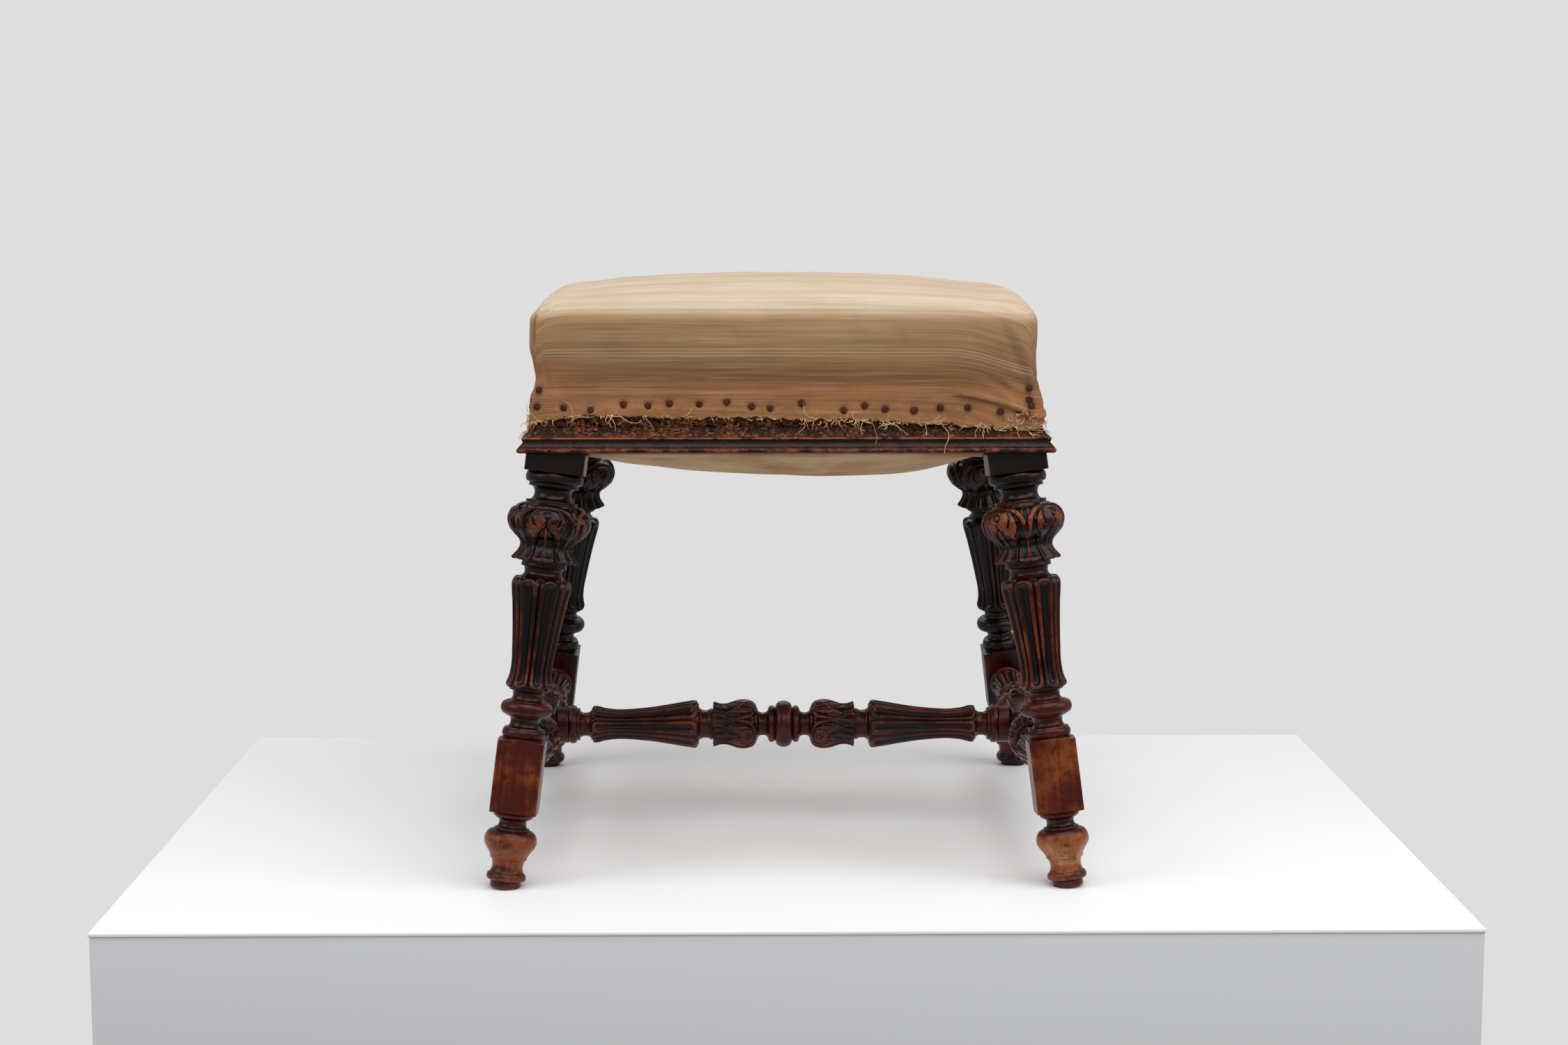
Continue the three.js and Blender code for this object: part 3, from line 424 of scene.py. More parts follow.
def rounded(places, values, at):
    """A smooth curve through a few points, without a bump beyond them."""
    places, values = np.array(places), np.array(values)
    steps = np.diff(places)
    slopes = np.diff(values) / steps
    inner = np.where(slopes[1:] * slopes[:-1] > 0,
                     2 * slopes[1:] * slopes[:-1] / (slopes[1:] + slopes[:-1] + 1e-9), 0)
    tangents = np.concatenate([[slopes[0]], inner, [slopes[-1]]])
    k = np.clip(np.searchsorted(places, at) - 1, 0, len(steps) - 1)
    t = (at - places[k]) / steps[k]
    t2, t3 = t * t, t * t * t
    return ((2 * t3 - 3 * t2 + 1) * values[k] + (t3 - 2 * t2 + t) * steps[k] * tangents[k]
            + (3 * t2 - 2 * t3) * values[k + 1] + (t3 - t2) * steps[k] * tangents[k + 1])


def profile(turning, shapes):
    """The turning's outline as evenly paced points, with the place and the radius of each."""
    outline = []
    for form, low, high, start, end, *between in turning:
        outline += turned_points(form, low, high, start, end, *between, shape=shapes.get(low, ()))
    outline = np.array(outline)
    lengths = np.concatenate([[0], np.cumsum(np.hypot(*np.diff(outline, axis=0).T))])
    even = np.linspace(0, lengths[-1], int(lengths[-1] / OUTLINE_PACE))
    return np.interp(even, lengths, outline[:, 0]), np.interp(even, lengths, outline[:, 1])


def flute_relief(angle, place, span, radius):
    """Eight petals with a sunken channel in each, between a low end and a high end of the shaft."""
    low, high = span
    sector = math.pi / 4
    half = radius * sector / 2
    across = np.abs((angle % sector) - sector / 2) * radius
    edge = half - across
    top, foot = high - half, low + half
    edge = np.where(place > top, half - np.hypot(across, place - top), edge)
    edge = np.where(place < foot, half - np.hypot(across, foot - place), edge)
    share = edge / half
    height = np.interp(share, (-0.4, -0.12, 0.0, 0.08, 0.2, 0.34, 0.48, 0.58, 0.7, 0.85, 1.0),
                       (-1.4, -1.9, -1.8, -0.6, 0.35, 0.65, 0.35, -0.5, -1.7, -2.3, -2.5))
    inside = smooth(low - 1, low + 0.5, place) * (1 - smooth(high, high + 1, place))
    arch = np.hypot(across, place - top)
    line = np.where(place > top, np.exp(-((arch - half - 2.6) / 0.6) ** 2) * 1.3, 0)
    return (height + line) * inside


def stroke_distance(across, up, points):
    """How far each place is from a line through points."""
    nearest = np.full(across.shape, 1e3)
    for (ax, ay), (bx, by) in zip(points[:-1], points[1:]):
        dx, dy = bx - ax, by - ay
        way = np.clip(((across - ax) * dx + (up - ay) * dy) / (dx * dx + dy * dy), 0, 1)
        nearest = np.minimum(nearest, np.hypot(across - ax - way * dx, up - ay - way * dy))
    return nearest


def depth_inside(across, up, outline):
    """How far inside a closed outline, mirrored about its axis, each place lies; 0 outside it."""
    whole = list(outline) + [(-x, y) for x, y in reversed(outline) if x > 0]
    inside = np.zeros(across.shape, bool)
    for (ax, ay), (bx, by) in zip(whole, whole[1:] + whole[:1]):
        if ay == by:
            continue
        crosses = ((ay > up) != (by > up)) & (across < (bx - ax) * (up - ay) / (by - ay) + ax)
        inside ^= crosses
    return np.where(inside, stroke_distance(across, up, whole + whole[:1]), 0)


def leaf_relief(angle, up):
    """Four acanthus leaves round a bulb, their tips curled out at the foot; up is as on the leg's bulb."""
    sector = math.pi / 2
    across = np.abs((angle + sector / 2) % sector - sector / 2) * LEAF_RADIUS
    swell = np.clip(depth_inside(across, up, DOME) / 4.4, 0, 1)
    height = 3.2 * np.sqrt(1 - (1 - swell) ** 2)
    for rise, half, points in RIBS:
        near = np.clip(1 - (stroke_distance(across, up, points) / half) ** 2, 0, 1)
        height = np.maximum(height, rise * np.sqrt(near))
    height -= LEAF_SINK
    for sink, half, points in GOUGES:
        height -= sink * np.clip(1 - (stroke_distance(across, up, points) / half) ** 2, 0, 1)
    eye = np.hypot(across, up - 295.6)
    height -= 1.5 * np.exp(-((eye - 2.6) / 0.75) ** 2)
    lobe = 1 - np.abs(across / LOBE_WIDTH - 1)
    spoon = np.interp(lobe, (0, 0.1, 0.25, 0.5, 0.72, 0.84, 0.92, 1),
                      (0.5, 0.1, -0.9, -1.7, -1.2, -0.2, -0.9, -3.2))
    curl = smooth(276.0, 266.0, up)
    height = height * (1 - curl) + spoon * curl
    low = 258.0 + 3.8 * (1 - np.sqrt(1 - ((lobe - 0.42) / 0.6) ** 2))
    height += 0.9 * np.exp(-((up - low - 1.4) / 1.0) ** 2) * (1 - smooth(0.85, 0.97, lobe))
    height -= 4.0 * smooth(low + 0.8, low - 0.8, up)
    return height * smooth(304.7, 303.9, up)


def square_radius(angle, half, sharpness=26.0):
    """How far out the side of a square with barely rounded corners lies, at each angle."""
    return half / (np.abs(np.cos(angle)) ** sharpness + np.abs(np.sin(angle)) ** sharpness) ** (1 / sharpness)


def within(place, span, below, above):
    return (place > span[0] - below) & (place < span[1] + above)


def surface(name, outline, relief, around, material, world, tone, offset, cap=None, wear=None):
    """A turned and carved piece along its own Z, with its hollows, edges and fading kept for the paint."""
    places, radii = outline
    angle, place = np.meshgrid(2 * math.pi * np.arange(around) / around, places)
    radius = np.repeat(radii[:, None], around, 1)
    height = relief(angle - offset, place, radius)
    slope = np.stack([np.gradient(places), np.gradient(radii)], -1)
    slope /= np.maximum(np.linalg.norm(slope, axis=1, keepdims=True), 1e-9)
    reach = radius + height * np.clip(slope[:, 0:1], 0.25, 1)
    if cap:
        reach = cap(angle, place, reach)
    along = place - height * slope[:, 1:2] * 0.6
    points = np.stack([np.cos(angle) * reach, np.sin(angle) * reach, along], -1)
    flat = np.concatenate([points.reshape(-1, 3), [[0, 0, places[0]], [0, 0, places[-1]]]])
    thing = build_mesh(name, moved(flat, world), tube_faces(len(places), around), material)
    bulge = reach - blurred(reach, 3)
    fine = reach - blurred(reach, 1)
    worn = bulge * 1.2 + fine * 2.2 + height * 0.1 + 0.5 * smooth(0.2, 0.55, height)
    add_values(thing, "hollow", np.clip(-bulge * 1.1 - height * 0.3, 0, 1))
    add_values(thing, "edge", np.clip(worn, 0, 1) * (wear(place) if wear else 0.42))
    add_values(thing, "tone", np.append(tone(place), [0.3, 0.3]))
    add_vectors(thing, "wood", flat * MM)
    return thing


def moved(points, world):
    """Points in millimetres, carried from a piece's own frame to the stool's."""
    turn = np.array(world)
    return np.asarray(points, float) @ turn[:3, :3].T + turn[:3, 3] / MM


def join(things):
    """Makes one object of several, under the first one's name."""
    bpy.ops.object.select_all(action="DESELECT")
    for thing in things:
        thing.select_set(True)
    bpy.context.view_layer.objects.active = things[0]
    bpy.ops.object.join()
    return things[0]


def block(name, low, high, material, bevel, tone=0.3, world=None):
    """A box with softened edges, between two corners in millimetres."""
    corners = [[(low, high)[i][0], (low, high)[j][1], (low, high)[k][2]]
               for k in (0, 1) for j in (0, 1) for i in (0, 1)]
    faces = [[0, 2, 3, 1], [4, 5, 7, 6], [0, 1, 5, 4], [2, 6, 7, 3], [0, 4, 6, 2], [1, 3, 7, 5]]
    thing = build_mesh(name, corners, [np.array(faces)], material)
    soften = thing.modifiers.new("edges", "BEVEL")
    soften.width = bevel * MM
    soften.segments = 3
    apply_modifiers(thing)
    add_values(thing, "hollow", 0.0)
    add_values(thing, "edge", 0.0)
    add_values(thing, "tone", np.full(len(thing.data.vertices), tone))
    add_vectors(thing, "wood", vertices_of(thing) * MM)
    if world is not None:
        thing.data.transform(world)
    return thing


def vertices_of(thing):
    """The vertices of a mesh, in millimetres."""
    flat = np.zeros(len(thing.data.vertices) * 3)
    thing.data.vertices.foreach_get("co", flat)
    return flat.reshape(-1, 3) / MM


def apply_modifiers(thing):
    """Puts what the modifiers make in the place of the mesh."""
    bpy.context.view_layer.update()
    graph = bpy.context.evaluated_depsgraph_get()
    made = bpy.data.meshes.new_from_object(thing.evaluated_get(graph))
    thing.modifiers.clear()
    thing.data = made


def thicken(thing, thickness):
    """Gives a sheet its thickness in millimetres, half of it on each side."""
    thick = thing.modifiers.new("thickness", "SOLIDIFY")
    thick.thickness = thickness * MM
    thick.offset = 0
    apply_modifiers(thing)


# Paint

class Paint:
    """A material with a short way to add nodes to it."""

    def __init__(self, name):
        self.material = bpy.data.materials.new(name)
        self.material.use_nodes = True
        self.tree = self.material.node_tree
        self.tree.nodes.clear()
        self.shader = self.tree.nodes.new("ShaderNodeBsdfPrincipled")
        output = self.tree.nodes.new("ShaderNodeOutputMaterial")
        self.tree.links.new(self.shader.outputs[0], output.inputs[0])

    def put(self, socket, value):
        if isinstance(value, bpy.types.NodeSocket):
            self.tree.links.new(value, socket)
        else:
            socket.default_value = value

    def node(self, kind, settings=(), **inputs):
        made = self.tree.nodes.new("ShaderNode" + kind)
        for key, value in dict(settings).items():
            setattr(made, key, value)
        for key, value in inputs.items():
            self.put(made.inputs[key.replace("_", " ")], value)
        return made

    def scaled(self, vector, scale):
        return self.node("Mapping", Vector=vector, Scale=scale).outputs[0]

    def coords(self, scale=(1, 1, 1)):
        return self.scaled(self.node("TexCoord").outputs["Object"], scale)

    def noise(self, vector, scale, detail=3.0, roughness=0.55):
        made = self.node("TexNoise", Vector=vector, Scale=scale, Detail=detail, Roughness=roughness)
        return made.outputs["Fac"]

    def math(self, operation, first, second=0.0):
        made = self.node("Math", {"operation": operation})
        self.put(made.inputs[0], first)
        self.put(made.inputs[1], second)
        return made.outputs[0]

    def plus(self, first, second):
        return self.math("ADD", first, second)

    def minus(self, first, second):
        return self.math("SUBTRACT", first, second)

    def times(self, first, second):
        return self.math("MULTIPLY", first, second)

    def zigzag(self, value, reach):
        return self.math("PINGPONG", value, reach)

    def band(self, value, low, high):
        """From 0 at low to 1 at high, with a soft start and end."""
        smoothed = {"interpolation_type": "SMOOTHSTEP"}
        return self.node("MapRange", smoothed, Value=value, From_Min=low, From_Max=high).outputs[0]

    def value(self, name, output="Fac"):
        return self.node("Attribute", {"attribute_name": name}).outputs[output]

    def mix(self, amount, first, second, blend="MIX"):
        made = self.node("Mix", {"data_type": "RGBA", "blend_type": blend})
        self.put(made.inputs[0], amount)
        self.put(made.inputs[6], first)
        self.put(made.inputs[7], second)
        return made.outputs[2]

    def bump(self, height, strength, distance, normal=None):
        made = self.node("Bump", Height=height, Strength=strength, Distance=distance)
        if normal is not None:
            self.tree.links.new(normal, made.inputs["Normal"])
        return made.outputs[0]

    def finish(self, color, roughness, normal=None, specular=0.5):
        self.put(self.shader.inputs["Base Color"], color)
        self.put(self.shader.inputs["Roughness"], roughness)
        self.shader.inputs["Specular IOR Level"].default_value = specular
        if normal is not None:
            self.tree.links.new(normal, self.shader.inputs["Normal"])
        return self.material


def walnut_paint(name, seed, worn=0.8, paleness_and_shade=0.0):
    """Old polished walnut: near-black hollows, red-brown wood and edges worn to orange."""
    paint = Paint(name)
    place = paint.node("VectorMath", {"operation": "ADD"})
    paint.put(place.inputs[0], paint.value("wood", "Vector"))
    place.inputs[1].default_value = (0.37 * seed, 0.71 * seed, 0)
    spot = place.outputs[0]
    along = paint.scaled(spot, (1, 1, 0.07))
    patches = paint.noise(spot, 38.0, 4.0, 0.6)
    blots = paint.noise(spot, 120.0, 5.0, 0.65)
    grain = paint.noise(along, 900.0, 3.0, 0.6)
    streaks = paint.noise(along, 260.0, 3.0, 0.6)
    speckle = paint.noise(spot, 420.0, 2.0, 0.6)
    # Added paleness lightens or darkens all the wood; on the back legs it darkens it as painted shade
    tone = paint.plus(paint.value("tone"), paleness_and_shade)
    tone = paint.plus(tone, paint.times(paint.minus(patches, 0.5), 0.9))
    tone = paint.plus(tone, paint.times(paint.minus(streaks, 0.5), 0.35))
    dark, red, tan, pale = shade(25, 10, 7), shade(72, 23, 9), shade(130, 66, 27), shade(180, 126, 80)
    color = paint.mix(paint.band(tone, 0.05, 0.5), dark, red)
    color = paint.mix(paint.band(tone, 0.45, 0.8), color, tan)
    color = paint.mix(paint.band(tone, 0.75, 1.15), color, pale)
    stain = paint.times(paint.band(blots, 0.52, 0.66), paint.band(tone, 0.35, 0.6))
    color = paint.mix(paint.times(stain, 0.75), color, shade(40, 20, 13))
    hollow = paint.band(paint.value("hollow"), 0.08, 0.6)
    color = paint.mix(hollow, color, shade(12, 6, 5))
    rub = paint.times(paint.value("edge"), paint.band(patches, 0.36, 0.64))
    rub = paint.times(paint.band(rub, 0.12, 0.6), paint.band(speckle, 0.25, 0.62))
    color = paint.mix(paint.times(rub, worn), color, shade(140, 74, 40))
    color = paint.mix(paint.times(paint.band(grain, 0.5, 0.75), 0.5), color, shade(16, 9, 8))
    rough = paint.plus(paint.times(streaks, 0.2), 0.17)
    normal = paint.bump(grain, 0.25, 0.0004)
    normal = paint.bump(speckle, 0.2, 0.0005, normal)
    return paint.finish(color, rough, normal, 0.27)


def strip_color(paint, place, grain):
    """The tacking strip's dark dry wood, with warmer and torn orange patches."""
    patches = paint.noise(place, 60.0, 4.0, 0.65)
    splints = paint.noise(place, 330.0, 4.0, 0.7)
    color = paint.mix(paint.band(grain, 0.35, 0.7), shade(30, 18, 13), shade(66, 35, 21))
    color = paint.mix(paint.times(paint.band(patches, 0.45, 0.7), 0.5), color, shade(92, 50, 28))
    torn = paint.times(paint.value("torn"), paint.band(splints, 0.4, 0.56))
    chipped = paint.times(paint.band(splints, 0.5, 0.6), paint.band(patches, 0.4, 0.6))
    torn = paint.math("MAXIMUM", torn, paint.times(chipped, 0.8))
    color = paint.mix(torn, color, shade(150, 94, 54))
    dark = paint.band(paint.noise(place, 420.0, 3.0, 0.6), 0.6, 0.68)
    color = paint.mix(paint.times(dark, 0.9), color, shade(14, 9, 7))
    return paint.mix(paint.band(paint.value("pit"), 0.12, 0.5), color, shade(8, 5, 4))


def rail_paint():
    """Bare, dark, dry rail wood, full of old tack holes and splinters."""
    paint = Paint("rail_wood_dry")
    grain = paint.noise(paint.coords((0.08, 0.08, 1)), 700.0, 4.0, 0.65)
    color = strip_color(paint, paint.coords(), grain)
    normal = paint.bump(grain, 0.5, 0.0006)
    return paint.finish(color, 0.7, normal, 0.15)


def moulding_paint():
    """Planted moulding: red-brown bead, a glossy hollow painted dark grey as painted shade and sheen, a pale
    worn fillet and a dry ramp above it, darkened a little as painted shade.
    """
    paint = Paint("moulding_polish")
    patches = paint.noise(paint.coords((0.6, 0.6, 1)), 150.0, 6.0, 0.72)
    fine = paint.noise(paint.coords(), 600.0, 3.0, 0.6)
    color = paint.mix(paint.band(patches, 0.4, 0.66), shade(40, 18, 12), shade(102, 45, 22))
    hollow = paint.band(paint.value("hollow"), 0.2, 0.8)
    # The hollow is painted dark grey: painted shade with a painted soft sheen
    color = paint.mix(paint.times(hollow, 0.9), color, shade(30, 22, 20))
    worn = paint.times(paint.value("edge"), paint.band(patches, 0.3, 0.6))
    color = paint.mix(paint.band(worn, 0.3, 0.85), color, shade(140, 82, 52))
    color = paint.mix(paint.times(paint.band(fine, 0.5, 0.8), 0.4), color, shade(18, 11, 9))
    dry = strip_color(paint, paint.coords(), fine)
    # The dry ramp is darkened a little as painted shade, as it faces up into the light
    dry = paint.mix(0.15, dry, shade(20, 12, 9))
    bare = paint.value("dry")
    color = paint.mix(bare, color, dry)
    rough = paint.minus(paint.plus(0.36, paint.times(bare, 0.38)),
                       paint.times(hollow, 0.14))
    normal = paint.bump(fine, 0.35, 0.0006)
    normal = paint.bump(patches, 0.5, 0.001, normal)
    return paint.finish(color, rough, normal, 0.22)


def crown_color(paint, patches, slubs, v):
    """Cream cloth with slubs and the lines of its weave."""
    group = paint.zigzag(paint.plus(v, 0.012), 0.030)
    thin = paint.zigzag(v, 0.0022)
    lines = paint.times(paint.band(group, 0.017, 0.021), paint.band(thin, 0.0013, 0.0005))
    color = paint.mix(paint.band(patches, 0.3, 0.7), shade(219, 205, 186), shade(208, 189, 164))
    color = paint.mix(paint.times(paint.band(slubs, 0.44, 0.66), 0.55), color, shade(194, 169, 138))
    return paint.mix(paint.times(lines, 0.55), color, shade(181, 151, 118))


def side_color(paint, stains, slubs):
    """The sides' cloth, darker than the crown partly from its dirt and partly as painted shade: tan above,
    brown below, a lighter, fraying hem whose colour also paints light on the front's left end, and stains
    over all.
    """
    slubby = paint.band(slubs, 0.3, 0.7)
    high = paint.mix(slubby, shade(199, 161, 118), shade(177, 136, 94))
    low = paint.mix(slubby, shade(135, 87, 42), shade(112, 67, 27))
    frayed_hem_and_lit_end = paint.mix(slubby, shade(184, 125, 75), shade(158, 103, 57))
    clean = paint.plus(0.6, paint.times(paint.band(stains, 0.62, 0.4), 0.4))
    color = paint.mix(paint.value("low"), high, low)
    # The hem's lighter, fraying colour, also laid on the front's left end as painted light
    color = paint.mix(paint.times(paint.value("hem"), clean), color, frayed_hem_and_lit_end)
    return paint.mix(paint.times(paint.band(stains, 0.52, 0.74), 0.24), color, shade(112, 70, 36))


def ticking_paint():
    """Herringbone ticking: cream on the crown, darker down the sides partly from dirt and partly as painted
    shade, a lighter hem, and woven stripes.
    """
    paint = Paint("ticking_weave")
    cloth = paint.value("cloth", "Vector")
    parts = paint.node("SeparateXYZ", Vector=cloth)
    u, v = parts.outputs[0], parts.outputs[1]
    side = paint.value("side")
    slant = paint.plus(u, paint.zigzag(v, 0.0034))
    groove = paint.band(paint.times(paint.zigzag(slant, 0.00066), 1 / 0.00066), 0.35, 0.95)
    patches = paint.noise(cloth, 9.0, 5.0, 0.6)
    fuzz = paint.noise(cloth, 900.0, 3.0, 0.7)
    stains = paint.noise(cloth, 24.0, 5.0, 0.65)
    slubs = paint.noise(paint.scaled(cloth, (5, 240, 1)), 1.0, 3.0, 0.6)
    threads = paint.noise(paint.scaled(cloth, (12, 900, 1)), 1.0, 2.0, 0.6)
    # The sides are darker than the crown partly from dirt and partly as painted shade, since they face away
    # from the light above
    color = paint.mix(side, crown_color(paint, patches, slubs, v), side_color(paint, stains, slubs))
    from_middle = paint.math("ABSOLUTE", v)
    for place in STRIPES:
        off = paint.math("ABSOLUTE", paint.minus(from_middle, place))
        stripe = paint.times(paint.band(off, 0.0008, 0.0003), 0.45)
        color = paint.mix(stripe, color, shade(214, 186, 150))
    # Soiled cloth at the tacks and the hem, and painted shade in the slit of the left corner's pleat
    color = paint.mix(paint.value("soil_and_shade"), color, shade(74, 42, 27))
    # The weave's grooves are darker on the sides too, as part of the same dirt and painted shade
    deep = paint.mix(side, shade(222, 205, 184), shade(150, 122, 94))
    color = paint.mix(groove, color, deep, "MULTIPLY")
    color = paint.mix(paint.times(paint.band(threads, 0.45, 0.75), 0.16), color, shade(236, 214, 180))
    color = paint.mix(paint.times(fuzz, 0.1), color, shade(246, 230, 204))
    normal = paint.bump(paint.minus(1.0, groove), 0.4, 0.0005)
    normal = paint.bump(slubs, 0.2, 0.0006, normal)
    normal = paint.bump(fuzz, 0.25, 0.0004, normal)
    paint.shader.inputs["Sheen Weight"].default_value = 0.04
    return paint.finish(color, 0.92, normal, 0.08)


def plain_cloth_paint(name, base, dark):
    """A plain weave, with darker patches."""
    paint = Paint(name)
    patches = paint.noise(paint.coords(), 14.0, 5.0, 0.6)
    parts = paint.node("SeparateXYZ", Vector=paint.coords())
    across = paint.zigzag(parts.outputs[0], 0.0007)
    along = paint.zigzag(parts.outputs[1], 0.0007)
    weave = paint.times(paint.plus(across, along), 1 / 0.0014)
    color = paint.mix(paint.band(patches, 0.35, 0.7), shade(*base), shade(*dark))
    color = paint.mix(paint.times(weave, 0.25), color, shade(*dark))
    normal = paint.bump(weave, 0.5, 0.0004)
    return paint.finish(color, 0.92, normal, 0.1)


def patchy_paint(name, noise, edges, colors, roughness, specular, bump=(0.2, 0.0003), metallic=0.0):
    """A material of two colours in patches, with soft edges between two values of the noise."""
    paint = Paint(name)
    patches = paint.noise(paint.coords(), *noise, 0.6)
    amount = paint.band(patches, *edges) if edges else patches
    color = paint.mix(amount, shade(*colors[0]), shade(*colors[1]))
    paint.shader.inputs["Metallic"].default_value = metallic
    return paint.finish(color, roughness, paint.bump(patches, *bump), specular)


# The stool's pieces

def leg_matrix(side_x, side_y):
    """Stands a leg on its foot, leaning inwards both ways."""
    foot = Vector((side_x * FOOT_REACH, side_y * FOOT_REACH, 0)) * MM
    axis = Vector((-side_x * SPLAY, -side_y * SPLAY, FRAME_BOTTOM)).normalized()
    lean = Vector((0, 0, 1)).rotation_difference(axis)
    return Matrix.Translation(foot) @ lean.to_matrix().to_4x4()


def leg_tone(place):
    """How light the leg has worn: tan at the foot, dark under the seat."""
    heights = (0, 12, 20, 40, 46, 58, 62, 90, 118, 124, 140, 165, 240, 260, 300, 310, 330, 350)
    tones = (0.45, 0.5, 0.85, 0.8, 0.3, 0.45, 0.55, 0.6, 0.5, 0.2, 0.35, 0.3, 0.3, 0.32, 0.28, 0.1, 0.1, 0.05)
    return np.interp(place, heights, tones)


def leg_wear(place):
    """How much the edges have been rubbed: most on the bulb's leaves and the foot, least under the seat."""
    heights = (0, 60, 118, 124, 156, 160, 245, 252, 262, 275, 290, 304, 310, 330, 350)
    wears = (0.9, 0.8, 0.8, 0.6, 0.5, 0.5, 0.42, 0.3, 0.45, 0.7, 1.0, 0.8, 0.15, 0.3, 0.1)
    return np.interp(place, heights, wears)


def leg(name, side_x, side_y, eighths, paint, dry):
    """A leg with its corner post; its carving is turned by so many eighths of a circle."""

    def relief(angle, place, radius):
        flutes = flute_relief(angle, place, LEG_FLUTES, radius)
        leaves = leaf_relief(angle, place)
        return (np.where(within(place, LEG_FLUTES, 1, 1), flutes, 0)
                + np.where(within(place, LEG_LEAVES, 1.2, 0.3), leaves, 0))

    def squared(angle, place, reach):
        for low, high, half in (LOWER_BLOCK, UPPER_BLOCK):
            square = np.minimum(reach, square_radius(angle, half))
            reach = np.where((place >= low) & (place <= high), square, reach)
        return reach

    thing = surface(name, profile(LEG_TURNING, LEG_SHAPES), relief, LEG_AROUND, paint,
                    leg_matrix(side_x, side_y), leg_tone, eighths * math.pi / 4, squared, leg_wear)
    # The leaning leg's ends are cut level
    spots = vertices_of(thing)
    spots[:, 2] = np.clip(spots[:, 2], 0, FRAME_BOTTOM - GAP)
    thing.data.vertices.foreach_set("co", (spots * MM).ravel())
    joined = join([thing, post(name + "_post", side_x, side_y, dry)])
    joined.name = name + "_carved"
    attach(joined, "root")
    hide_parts(name)


def stretcher_relief(flutes, leaves):
    """Carving of a stretcher's half: flutes in one span, leaves that point outwards in another."""

    def relief(angle, place, radius):
        place = np.abs(place)
        up = np.interp(place, leaves, (LEG_LEAVES[1], LEG_LEAVES[0]))
        petals = flute_relief(angle, place, flutes, radius) * CARVING_SHARE
        leafage = leaf_relief(angle, up) * CARVING_SHARE
        return (np.where(within(place, flutes, 1, 1), petals, 0)
                + np.where(within(place, leaves, 0.3, 1), leafage, 0))

    return relief


def stretcher(name, outline, relief, around, paint, world):
    """A turned and carved stretcher, or half of one, its petals turned by half a petal."""
    return surface(name, outline, relief, around, paint, world,
                   lambda place: np.full(place.shape, STRETCHER_TONE), math.pi / 8)


def mirrored(places, radii):
    """An outline on both sides of its middle."""
    keep = places > 0.01
    return (np.concatenate([-places[keep][::-1], places[keep]]),
            np.concatenate([radii[keep][::-1], radii[keep]]))


def cross_stretcher(paint):
    """The stretcher that joins the two side stretchers."""
    world = Matrix.Translation((0, 0, STRETCHER_Z * MM)) @ Matrix.Rotation(math.pi / 2, 4, "Y")
    thing = stretcher("cross_stretcher_turned", mirrored(*profile(CROSS_TURNING, CROSS_SHAPES)),
                      stretcher_relief(CROSS_FLUTES, CROSS_LEAVES), CROSS_AROUND, paint, world)
    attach(thing, "root")
    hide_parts("cross_stretcher")


def side_stretcher(side, name, paint):
    """The stretcher between a front and a back leg: two turned halves and the block between them."""
    middle = Matrix.Translation((side * STRETCHER_X * MM, 0, STRETCHER_Z * MM))
    parts = [stretcher(name + str(end), profile(SIDE_TURNING, SIDE_SHAPES),
                       stretcher_relief(SIDE_FLUTES, SIDE_LEAVES), SIDE_AROUND, paint,
                       middle @ Matrix.Rotation(-end * math.pi / 2, 4, "X")) for end in (-1, 1)]
    length, width = JOINT_BLOCK
    half = (width / 2, length / 2, width / 2)
    body = block(name + "_block", [-h for h in half], half, paint, 1.2, 0.26, middle)
    joined = join([body] + parts)
    joined.name = name + "_turned"
    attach(joined, "root")
    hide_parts(name)


def moulding_section():
    """Points of the section: off the frame's face, above its foot, hollow, edge and dryness."""
    bead = [(8.2 + 2.4 * math.sin(a), 2.2 - 2.2 * math.cos(a), 0.0, 0.2 + 0.5 * math.sin(a) ** 4, 0.0)
            for a in np.linspace(0.15, math.pi - 0.25, 13)]
    hollow = [(7.9 - 0.85 * (1 - math.cos(a)) - 1.1 * math.sin(a), 4.7 + 5.7 * (1 - math.cos(a)) / 2,
               math.sin(a) ** 0.5, 0.0, 0.0) for a in np.linspace(0.1, math.pi - 0.2, 11)]
    fillet = [(6.4, 10.4, 0.3, 0.5, 0.0), (6.9, 10.6, 0.0, 1.0, 0.0), (7.2, 11.1, 0.0, 1.0, 0.0),
              (7.1, 11.8, 0.0, 1.0, 0.0), (6.6, 12.2, 0.0, 0.6, 0.6)]
    ramp = [(0.3 + 6.2 * (1 - math.sin(a)), 12.4 + 6.8 * (1 - math.cos(a)), 0.0, 0.1, min(1.0, 4 * a))
            for a in np.linspace(0.12, math.pi / 2, 14)]
    return [(0.3, 0.0, 0.5, 0.0, 0.0), (7.6, 0.0, 0.2, 0.1, 0.0)] + bead + hollow + fillet + ramp


